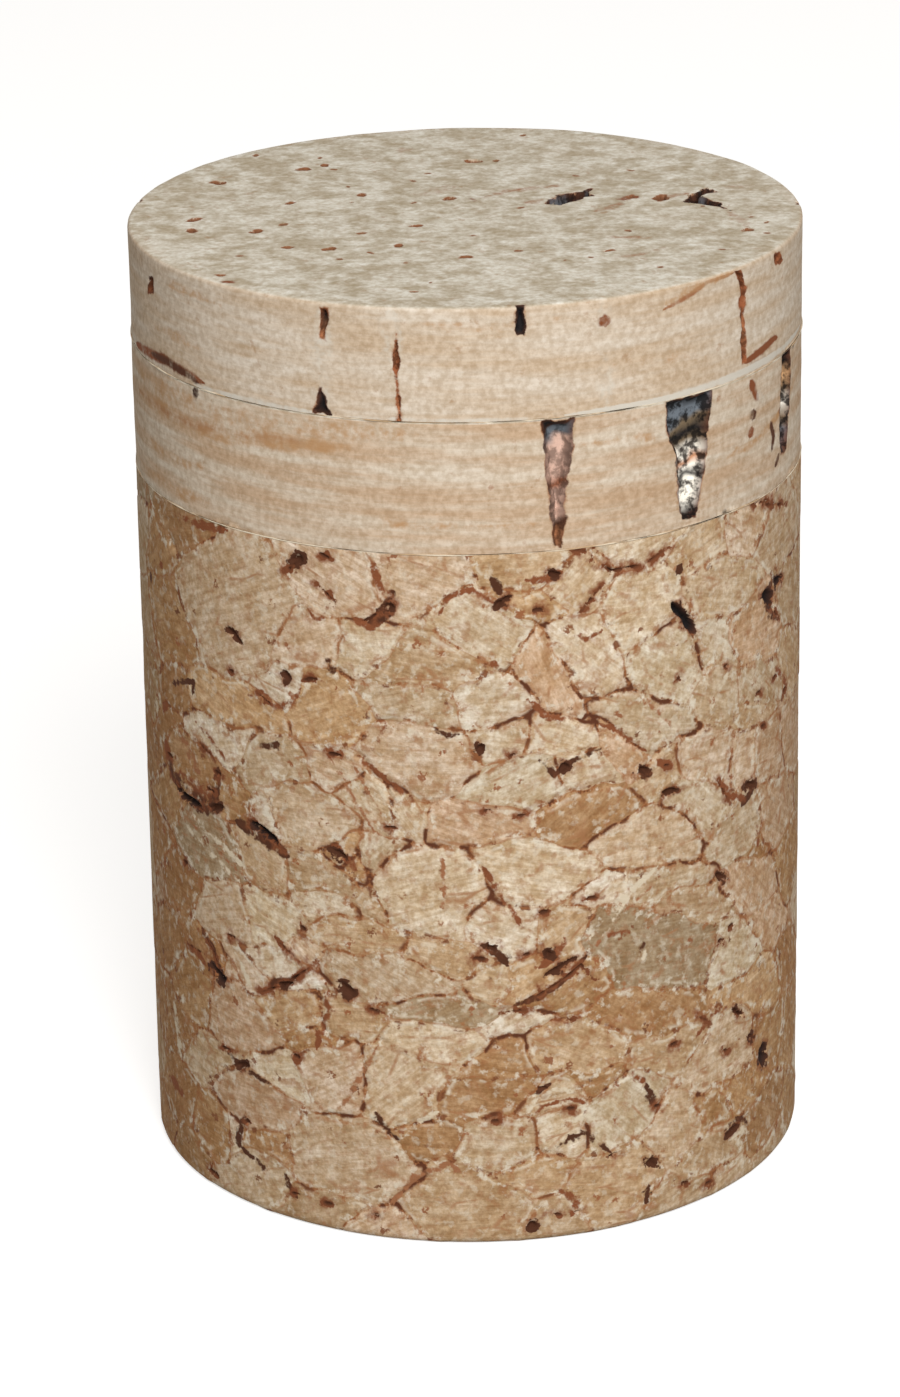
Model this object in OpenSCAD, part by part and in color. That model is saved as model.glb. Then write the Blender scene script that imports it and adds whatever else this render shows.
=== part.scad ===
// Cork stopper of the kind that closes sparkling wine: an agglomerated cork body
// with two discs of natural cork glued on its wine end, all ground to one diameter.
// It stands on its agglomerated foot. +Z is up and the origin is the centre of the foot.
// Angles run round the axis from the front (-Y), and grow towards +X.

/* [Stopper] */
// Diameter of the ground stopper
cork_d = 31; // [26:0.5:36]
// Height of the agglomerated body
body_h = 33.7; // [28:0.1:40]
// Thickness of the natural disc that is glued on the body
inner_disc_t = 6.1; // [4.5:0.1:8]
// Thickness of the natural disc at the wine end
outer_disc_t = 5.2; // [4.5:0.1:8]

/* [Edges] */
// Chamfer round the foot
foot_chamfer = 0.4; // [0.2:0.1:1.5]
// Chamfer round the wine end
top_chamfer = 0.3; // [0.1:0.1:1]

/* [Granules] */
// Width of the open seam between two granules
seam_w = 0.25; // [0.1:0.05:0.4]
// Depth of the open seam between two granules
seam_depth = 0.2; // [0.1:0.05:0.4]
// Height of a row of granules on the back
back_row_h = 4.4; // [3.4:0.1:6]
// Mean width of a granule on the back
back_granule_w = 5.4; // [4:0.1:8]
// Depth of the pits where granules meet badly
pit_depth = 0.8; // [0.4:0.1:1.5]

/* [Lenticels and pores] */
// Depth of the lenticels that open on the side of the inner disc
inner_lenticel_depth = 0.9; // [0.3:0.1:2]
// Depth of the lenticels that open on the side of the outer disc
outer_lenticel_depth = 0.5; // [0.2:0.1:1.5]
// Depth of the pores that open on the wine end
pore_depth = 1.2; // [0.5:0.1:3]
// Depth of the two torn lenticels on the wine end
gash_depth = 0.8; // [0.3:0.1:2]

/* [Hidden] */
$fn = 96;

cork_r = cork_d / 2;
inner_disc_z = body_h;
outer_disc_z = body_h + inner_disc_t;

// How far a cut runs past the surface that it opens
over = 1;
// The farthest apart that the centres of two granules can be and still share a seam
meeting_reach = 11;
// Where the turning of the body starts, from the right
turning_start = 8;
// Corners closer than this are one corner, and a smaller cell is a pit
corner_gap = 0.12;
least_cell = 0.8;

// Granules on the front: angle, height, length, width and tilt of each one
front_edge = 82;
FRONT_GRANULES = [
    [-77, 31, 4.4, 3, 15], [-69, 31.2, 4.4, 2.6, 15], [-60, 32.7, 3.6, 1.6, 15],
    [-44, 30, 7, 5.4, 0], [-21, 32.3, 4.4, 2.8, 0], [-9.5, 32.6, 5, 2.6, 0],
    [9, 32.9, 3.4, 1.6, 0], [18, 31.8, 3.2, 2.6, 30], [28, 33.7, 4.6, 2.4, 0],
    [43, 32.8, 3.2, 1.8, 0], [54, 32.7, 3.8, 2, 0], [67, 31.4, 5, 2.6, -15],
    [2.5, 30.2, 5, 2.4, -35], [10, 31.2, 2.6, 1.4, -10], [29, 30.2, 4.8, 3.2, -20],
    [48, 30.2, 3.8, 2.8, -10], [-27.5, 29.3, 3.2, 1.8, 10], [-18, 29.3, 3.2, 1.8, -20],
    [-9, 28.5, 4.4, 2, 5], [12, 27.8, 4.4, 1.8, -50], [20.5, 28.3, 4, 2.6, -45],
    [36, 27.8, 4.8, 3.4, -15], [57, 27.6, 5, 2.8, -12], [74, 28, 4.8, 3, -15],
    [-64.5, 27.8, 4.4, 3.2, 20], [-77, 26.4, 4.4, 2.6, 20], [-33.5, 26.8, 2, 1.4, 0],
    [-25.5, 26, 3.4, 2.8, 0], [-10, 26.6, 3.6, 1.6, 0], [2.8, 26.9, 2.8, 2, 0],
    [46.5, 25, 2.8, 2.4, -30], [-46.5, 25.1, 5, 1.9, 0], [-8.5, 24, 4.6, 3.2, 0],
    [4.8, 25, 2.4, 1.6, 0], [14.3, 24.8, 3.2, 2, 0], [29.5, 25.2, 5.6, 1.7, -35],
    [26, 23.8, 3.6, 1.5, -40], [60, 24.6, 5, 2.4, -15], [74, 24.4, 4.4, 2.4, -15],
    [-47.5, 23.2, 4.2, 1.6, 0], [-62, 24.5, 3.4, 1.8, 20], [-36, 22.9, 4.2, 1.8, 5],
    [-24, 23.2, 3, 1.6, -10], [7, 22.8, 4.4, 2, 10], [18.5, 23.2, 2.6, 1.4, -10],
    [33, 22.2, 2.4, 1.4, 0], [43.5, 22.2, 5, 2, -20], [-1, 21, 4.6, 1.8, 0],
    [21.5, 21, 4.4, 2.6, -10], [-57, 21.4, 4.6, 2.2, 0], [-17, 21.6, 3.4, 1.8, -45],
    [-68, 22.2, 4, 2, 25], [62, 21.2, 4.4, 2, -12], [77, 20.8, 4.4, 2.6, -15],
    [-45.5, 20.9, 3, 1.8, 0], [-30, 20.8, 4.6, 2.6, 0], [31, 19, 5, 2.2, -15],
    [43, 19.8, 3.8, 2, -35], [-51, 17.8, 4.8, 2.2, -5], [-66, 18.6, 4.6, 2.4, 20],
    [-76, 20.4, 4, 2.4, 20], [-40, 17.9, 4, 2, -10], [-27.5, 17.6, 3.6, 2, -5],
    [-8.5, 17.6, 5.4, 4.4, 0], [11, 18.2, 4.8, 2.8, -5], [52, 18, 4.4, 2.6, -20],
    [66, 17.6, 4.6, 2.6, -20], [6, 15.6, 3, 2, -20], [15, 15.4, 3, 2, 20],
    [33, 17, 5, 1.6, -12], [-38, 15.4, 4, 1.8, 10], [-48.5, 14.8, 4.6, 2.4, 10],
    [-62, 14.8, 4.2, 2.2, 15], [-75, 16, 4.4, 2.6, 20], [-21, 15.2, 4.8, 1.3, 5],
    [-3, 14.4, 3.8, 1.5, -10], [31.5, 13.8, 6.8, 3.2, -20], [57, 15, 4.2, 2, -20],
    [75, 14.6, 4.6, 2.8, -20], [-34, 13.2, 3.4, 1.6, -5], [-15, 13.2, 5, 1.9, -5],
    [8, 13.3, 2.8, 1.6, 20], [-56, 12.4, 3.4, 1.5, -15], [-44, 12, 2.8, 1.4, -10],
    [-5, 12, 4.6, 1.5, 5], [16, 12.3, 3.6, 1.2, 20], [52, 12, 3.8, 2.2, -15],
    [64, 12.2, 4, 2.2, -20], [-71, 11.6, 4.6, 2.8, 20], [-33, 11, 3.4, 2, 15],
    [-21.5, 11, 3.6, 1.8, -15], [-8, 10.2, 4.8, 1.5, -5], [7.5, 11, 3, 1.3, 10],
    [29, 10.8, 4.4, 2, -15], [-59, 9.6, 3.8, 2.6, 15], [-45, 9.4, 4.8, 3.4, 10],
    [16.5, 9.8, 4.4, 2.2, -5], [59, 9.6, 4.2, 2.2, -15], [74, 10, 4.6, 3, -20],
    [-25.5, 8, 3.4, 3.4, 40], [-13.5, 8, 4.2, 3.6, 30], [4, 9.4, 3, 1.6, 15],
    [35, 8.6, 3.8, 1.8, -15], [-35.5, 7.4, 2.8, 1.8, 0], [0.5, 7.4, 3.4, 2, 0],
    [13, 7.2, 3.2, 1.2, 25], [46.5, 7.3, 4.8, 3, -10], [-53.5, 6.8, 3.2, 1.7, 15],
    [-68, 7.4, 4.2, 3, 25], [64, 6.6, 4.4, 2.6, -15], [76, 5.6, 4.4, 3, -15],
    [26, 6.2, 3.6, 3.2, -30], [14.5, 5.6, 3, 1.9, 20], [-42, 5.4, 4.6, 2.4, 10],
    [-8.5, 5.4, 2.8, 1.7, 15], [4, 5, 3.2, 2.2, -10], [54, 4.9, 3.4, 2, -10],
    [-22.5, 3.9, 6.6, 3.6, -5], [36.5, 4.4, 4, 2.8, -10], [-55, 3.2, 4, 2.8, 15],
    [-67, 3.4, 4.2, 2.4, 20], [9.5, 3.4, 2.8, 1.6, 0], [-3, 1.8, 5.6, 3.4, 0],
    [22.5, 2.2, 4.4, 3.4, 0], [46, 2.4, 4.2, 2.6, -5], [61, 2.6, 4.4, 2.8, -10],
    [-43, 1.4, 4.2, 2.4, 10], [13, 1.4, 2.4, 1.8, 0], [-29, 0.9, 4.6, 1.7, 0],
    [-16.5, 0.6, 2.4, 1.2, 10], [37, 0.9, 3, 1.6, 0], [75, 1.4, 4.4, 2.2, -10],
    [-76, 1.6, 4.4, 2.6, 20], [-77, 7, 4, 3.2, 20],
];

// Pits in the body: angle, height, length, width and tilt of each one
PITS = [
    [38, 29.5, 2.2, 0.7, -50], [61.2, 28.7, 1.6, 0.8, -45], [66, 29.1, 1.4, 0.6, 0],
    [-29.5, 32.9, 1, 0.7, 10], [-14, 31, 0.7, 1, -15], [-43.5, 28.6, 1.2, 0.5, -35],
    [5.2, 31.5, 0.9, 0.6, 30], [14, 32.6, 0.8, 0.5, 0], [-32.4, 27.3, 0.6, 0.5, 0],
    [1.2, 24.6, 0.5, 0.5, 0], [15.3, 23.4, 0.7, 0.5, 15], [30, 22.6, 0.7, 0.6, 0],
    [35, 21.3, 1.1, 0.4, -10], [-58, 19.5, 2.4, 0.6, -5], [-49.5, 19.8, 1.2, 0.6, 20],
    [-38, 19.4, 2.2, 0.5, -20], [-23, 19.1, 1, 0.8, -30], [55.5, 20, 1, 0.7, 0],
    [47, 16.2, 0.8, 0.4, -30], [2.6, 14.9, 0.6, 0.6, 30], [12.5, 14.4, 0.8, 0.7, 30],
    [-33, 12.4, 2.4, 0.5, 22], [-22.5, 12.5, 1, 0.7, 0], [-50.5, 11.4, 1.3, 0.8, -20],
    [14.2, 13.7, 1.8, 0.4, 25], [52, 8.9, 1.1, 0.4, -40], [-45, 7.2, 1, 0.6, 15],
    [56, 7.3, 0.7, 0.5, -20], [60.5, 5.8, 1.1, 1.2, 45], [50.5, 3, 1.1, 0.5, 15],
    [31.3, 2.9, 0.8, 0.7, -45], [9, 0.9, 0.5, 0.5, 0], [98, 22.6, 1.2, 0.7, 20],
    [117, 12.4, 1.5, 0.6, -30], [140, 29, 1, 0.9, 0], [163, 17, 1.8, 0.6, 15],
    [-172, 7, 1.1, 0.8, 0], [-150, 26, 1.6, 0.7, -35], [-127, 14, 1.2, 0.8, 10],
    [-104, 27.6, 0.9, 0.9, 0], [-98, 5, 1.4, 0.6, 30],
];

// Lenticels on a disc's side: angle, drop from the disc's upper face, length,
// and the width at the top, at the middle and at the bottom
INNER_LENTICELS = [
    [14.8, 0.2, 5.3, 1.4, 1, 0.4], [39.4, 0.2, 5.5, 2.5, 1.8, 1.1],
    [67.5, 0.1, 4.7, 0.8, 1, 0.6], [104, 0.4, 4.6, 0.9, 1.4, 0.5],
    [146, 0.3, 5.2, 1.8, 1.2, 0.8], [-158, 1.2, 3.6, 0.6, 0.9, 0.4],
    [-119, 0.2, 5.4, 1.2, 0.8, 0.9],
];
OUTER_LENTICELS = [
    [8.5, 0, 1.5, 0.4, 0.35, 0.3], [-23.5, 0.4, 1.1, 0.3, 0.3, 0.2],
    [-24.5, 4.3, 0.9, 0.2, 0.4, 0.6], [-11.5, 1.2, 3.9, 0.2, 0.35, 0.25],
    [52, 0.4, 4.2, 0.5, 0.4, 0.3], [65, 0.5, 0.8, 0.5, 0.6, 0.3],
    [-66, 1, 1, 0.4, 0.5, 0.3], [93, 0, 3.4, 0.6, 0.4, 0.3],
    [128, 1.6, 2.6, 0.4, 0.7, 0.3], [171, 0, 4.6, 0.5, 0.4, 0.6],
    [-136, 0.6, 3.8, 0.3, 0.6, 0.5], [-101, 0, 1.8, 0.5, 0.4, 0.2],
];

// Pores on the wine end: distance right of the axis, distance behind it, and width
PORES = [
    [9.1, 1.9, 0.6], [7.7, 2.2, 0.5], [-11.5, 5.8, 0.6], [-7.6, 8, 0.5],
    [-6.6, 8.6, 0.4], [0.4, 9, 0.5], [-4.8, 3.2, 0.4], [-0.7, 2.3, 0.4],
    [-8, 2, 0.4], [-12.4, -0.6, 0.5], [-12.4, -2.5, 0.4], [-9.5, -2.8, 0.5],
    [-2.2, -2.2, 0.4], [-3, -5.5, 0.4], [-6.1, -5.8, 0.5], [-8, -5.5, 0.4],
    [0, -7.5, 0.4], [6.4, -6.8, 0.4], [12.8, -3.7, 0.4], [-10.8, -9.8, 0.4],
];
// Outlines of the two torn lenticels on the wine end
GASHES = [
    [[3.6, 1.2], [4.5, 0.9], [5.3, 1.7], [6.2, 2.4], [5.9, 3.7], [4.9, 2.9], [4.1, 2.8]],
    [[9.8, 0.9], [10.6, 0.8], [11.6, 0.1], [12.2, -0.5], [11.8, 0.9], [10.9, 2],
     [11.8, 2.9], [11.2, 3.7], [10.4, 2.4]],
];

// A number from 0 to 1 that looks random but is always the same for the same n
function scatter(n) = let(v = sin(n * 12.9898) * 43758.5453) v - floor(v);

// A number between low and high that is always the same for the same n
function between(low, high, n) = low + (high - low) * scatter(n);

// Granules on the back, in staggered rows whose cells vary in size and tilt
back_rows = ceil(body_h / back_row_h);
back_arc = 360 - 2 * front_edge;
back_columns = round(back_arc * PI / 180 * cork_r / back_granule_w);
back_granules = [
    for (row = [0:back_rows - 1], column = [0:back_columns - 1])
        let(n = row * back_columns + column,
            stagger = row % 2 / 2 + between(-0.3, 0.3, n + 0.5))
        [front_edge + (column + 0.25 + stagger) * back_arc / back_columns,
         (row + 0.5 + between(-0.3, 0.3, n + 100)) * back_row_h,
         between(3.6, 7, n + 200),
         between(2.4, 4, n + 300),
         between(-40, 40, n + 400)]
];
granules = concat(FRONT_GRANULES, back_granules);

// Where granule b lies from granule a, on the side unrolled flat
function turn_to(a) = a - 360 * floor((a + 180) / 360);
function way(a, b) = [turn_to(b[0] - a[0]) * PI / 180 * cork_r, b[1] - a[1]];

// A granule is an ellipse as it is pressed into the mix. pull() is the slope of its
// size measure at v from its centre, and reach() how far the ellipse runs towards v.
function pull(g, v) =
    let(along = [cos(g[4]), sin(g[4])],
        across = [-along.y, along.x])
    along * (along * v) * 4 / pow(g[2], 2) + across * (across * v) * 4 / pow(g[3], 2);
function reach(g, v) = norm(v) / sqrt(pull(g, v) * v);

// The straight seam between granules a and b, as a normal and its distance from a
function seam(a, b) =
    let(v = way(a, b),
        meet = v * reach(a, v) / (reach(a, v) + reach(b, v)),
        slope = pull(a, meet) + pull(b, v - meet),
        normal = slope / norm(slope))
    [normal, normal * meet - seam_w / 2];

// The part of a convex outline that lies on the near side of one seam, or of all seams
function near_side(outline, edge) = [
    for (i = [0:len(outline) - 1])
        let(a = outline[i],
            b = outline[(i + 1) % len(outline)],
            past_a = edge[0] * a - edge[1],
            past_b = edge[0] * b - edge[1])
        each concat(past_a <= 0 ? [a] : [],
                    past_a * past_b < 0 ? [a + (b - a) * past_a / (past_a - past_b)] : [])
];
function inside_all(outline, edges, i = 0) =
    i == len(edges) || len(outline) == 0 ? outline
    : inside_all(near_side(outline, edges[i]), edges, i + 1);

// An outline without corners that are too close together to make
function clean(outline) = [
    for (i = [0:1:len(outline) - 1])
        if (norm(outline[i] - outline[(i + 1) % len(outline)]) > corner_gap) outline[i]
];
function area(outline, i = 0) =
    i >= len(outline) ? 0
    : cross(outline[i], outline[(i + 1) % len(outline)]) / 2 + area(outline, i + 1);

// The cell that granule g fills between its neighbours, on the unrolled side. It runs
// over the ends of the body, which the stock then trims.
function cell(g) = clean(inside_all(
    [[-meeting_reach, -over - g[1]], [meeting_reach, -over - g[1]],
     [meeting_reach, body_h + over - g[1]], [-meeting_reach, body_h + over - g[1]]],
    [for (other = granules)
        let(far = norm(way(g, other)))
        if (far > 0 && far < meeting_reach) seam(g, other)]));

// A rough seven-sided outline of the given length and width, turned by tilt
module rough_outline(length, width, tilt, n) {
    rotate(tilt)
        polygon([for (i = [0:6])
            between(0.42, 0.58, n + i) * [length * cos(i * 360 / 7), width * sin(i * 360 / 7)]]);
}

// Stands an outline drawn at the origin on the side at that angle and height,
// as a bar that runs out from the radius start
module on_side(angle, height, start) {
    rotate([0, 0, angle - 90]) translate([start, 0, height]) rotate([90, 0, 90])
        linear_extrude(cork_r + over - start) children();
}

// The turned stock that the body is ground to, at radius r. The line where the turning
// starts is kept away from the corners of granules.
module stock(r) {
    rotate([0, 0, turning_start]) rotate_extrude()
        polygon([[0, 0], [r - foot_chamfer, 0], [r, foot_chamfer], [r, body_h], [0, body_h]]);
}

// One granule as a bar that reaches from just inside the seams out past the side
module granule(g) {
    outline = cell(g);
    if (len(outline) > 2 && area(outline) > least_cell) {
        flat = [for (p = outline) [cork_r * sin(p.x / cork_r * 180 / PI), p.y]];
        half_w = max([for (p = flat) abs(p.x)]);
        root = sqrt(pow(cork_r - seam_depth, 2) - pow(half_w, 2)) - corner_gap;
        on_side(g[0], g[1], root) polygon(flat);
    }
}

module agglomerate_body() {
    color("#c49b6c") difference() {
        union() {
            stock(cork_r - seam_depth);
            intersection() {
                stock(cork_r);
                union() {
                    for (g = granules) granule(g);
                }
            }
        }
        for (i = [0:len(PITS) - 1]) {
            pit = PITS[i];
            on_side(pit[0], pit[1], cork_r - pit_depth)
                rough_outline(pit[2], pit[3], pit[4], 7 * i);
        }
    }
}

// A lenticel on the side of a disc whose upper face is at height top
module lenticel(l, top, depth) {
    on_side(l[0], top - l[1], cork_r - depth)
        polygon([[-l[3] / 2, l[1] == 0 ? over : 0], [-l[4] / 2, -l[2] / 2],
                 [-l[5] / 2, -l[2]], [l[5] / 2, -l[2]],
                 [l[4] / 2, -l[2] / 2], [l[3] / 2, l[1] == 0 ? over : 0]]);
}

module inner_disc() {
    color("#c8a275") difference() {
        translate([0, 0, inner_disc_z]) cylinder(r = cork_r, h = inner_disc_t);
        for (l = INNER_LENTICELS)
            lenticel(l, inner_disc_z + inner_disc_t, inner_lenticel_depth);
    }
}

module outer_disc() {
    top = outer_disc_z + outer_disc_t;
    color("#cfb08a") difference() {
        translate([0, 0, outer_disc_z])
            rotate_extrude()
                polygon([[0, 0], [cork_r, 0], [cork_r, outer_disc_t - top_chamfer],
                         [cork_r - top_chamfer, outer_disc_t], [0, outer_disc_t]]);
        for (l = OUTER_LENTICELS)
            lenticel(l, top, outer_lenticel_depth);
        for (i = [0:len(PORES) - 1])
            translate([PORES[i].x, PORES[i].y, top - pore_depth])
                linear_extrude(pore_depth + over)
                    rough_outline(PORES[i].z, PORES[i].z, 0, 7 * i);
        for (outline = GASHES)
            translate([0, 0, top - gash_depth])
                linear_extrude(gash_depth + over) polygon(outline);
    }
}

agglomerate_body();
inner_disc();
outer_disc();
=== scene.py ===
"""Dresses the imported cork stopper: a body of pressed granules under two discs of natural cork."""

import itertools
import logging
import math
from dataclasses import dataclass, field
from enum import Enum

import bpy
import numpy as np
from bpy.types import Material, Node, NodeSocket as Socket, NodeTree, Object
from mathutils import Matrix, Vector


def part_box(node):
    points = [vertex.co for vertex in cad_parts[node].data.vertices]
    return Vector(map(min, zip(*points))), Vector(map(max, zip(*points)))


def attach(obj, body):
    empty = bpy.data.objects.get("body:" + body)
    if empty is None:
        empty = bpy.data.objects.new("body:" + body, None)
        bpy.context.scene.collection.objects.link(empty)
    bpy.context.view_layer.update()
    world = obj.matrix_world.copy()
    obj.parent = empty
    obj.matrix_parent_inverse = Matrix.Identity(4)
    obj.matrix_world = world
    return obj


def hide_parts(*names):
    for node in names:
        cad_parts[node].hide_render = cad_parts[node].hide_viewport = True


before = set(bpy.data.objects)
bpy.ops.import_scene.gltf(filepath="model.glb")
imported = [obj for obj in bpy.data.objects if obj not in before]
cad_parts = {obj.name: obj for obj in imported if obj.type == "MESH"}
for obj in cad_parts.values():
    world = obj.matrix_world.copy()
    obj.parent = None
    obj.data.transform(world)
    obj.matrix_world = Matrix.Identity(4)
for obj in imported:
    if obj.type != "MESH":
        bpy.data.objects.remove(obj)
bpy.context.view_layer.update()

log = logging.getLogger("cork_stopper")

Array = np.ndarray
Triple = tuple[float, float, float]

MM = 0.001

# The stopper's main sizes, in millimetres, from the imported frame
CORK_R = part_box("outer_disc")[1].x / MM
BODY_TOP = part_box("agglomerate_body")[1].z / MM
INNER_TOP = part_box("inner_disc")[1].z / MM
OUTER_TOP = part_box("outer_disc")[1].z / MM
ROUND_TRIP = 2 * math.pi * CORK_R

# Roundings of the edges at the glued joints and round the wine end
JOINT_EDGE = 0.03
WINE_EDGE = 0.22

# Distances that stand for no opening nearby, and for nothing nearby at all
FAR = 2.0
BEYOND = 99.0


class Tint(Enum):
    """Colours of cork granules, as sRGB values from 0 to 255."""

    OLIVE = (178, 149, 112)
    BROWN = (176, 141, 103)
    RUSSET = (178, 143, 103)
    ORANGE = (199, 168, 130)
    TAN = (195, 170, 138)
    BEIGE = (204, 184, 156)
    PALE = (214, 198, 173)
    CREAM = (224, 211, 190)
    ROSE = (203, 175, 146)
    BLUSH = (217, 196, 171)
    DUSK = (203, 182, 155)
    ASH = (214, 200, 175)
    MOSS = (172, 152, 124)
    # A darker brown for granules on the flanks: partly their own colour, partly painted shade
    UMBER = (168, 130, 90)


class Mark(Enum):
    """Colours of openings, glue and stains in the cork, as sRGB values from 0 to 255."""

    NIGHT = (30, 26, 26)
    SLATE = (92, 97, 102)
    PITCH = (58, 33, 21)
    DARK = (80, 46, 29)
    RUST = (134, 78, 48)
    CLAY = (160, 108, 74)
    SHADE = (100, 84, 64)
    FLESH = (200, 166, 148)
    STRAW = (222, 206, 180)
    CHALK = (218, 210, 196)
    BAND = (188, 146, 104)


# Short names of the colours, for the rows below
OLIVE, BROWN, RUSSET, ORANGE, TAN, BEIGE, PALE, CREAM, ROSE, BLUSH, DUSK, ASH, MOSS, UMBER = Tint
NIGHT, SLATE, PITCH, DARK, RUST, CLAY, SHADE, FLESH, STRAW, CHALK, BAND = Mark

# Tints of the granules that have none of their own, common ones more than once
COMMON_TINTS = [TAN, TAN, BEIGE, BEIGE, PALE, ROSE, BLUSH, DUSK, ORANGE, CREAM, ASH, MOSS, BROWN,
                OLIVE]
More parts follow.
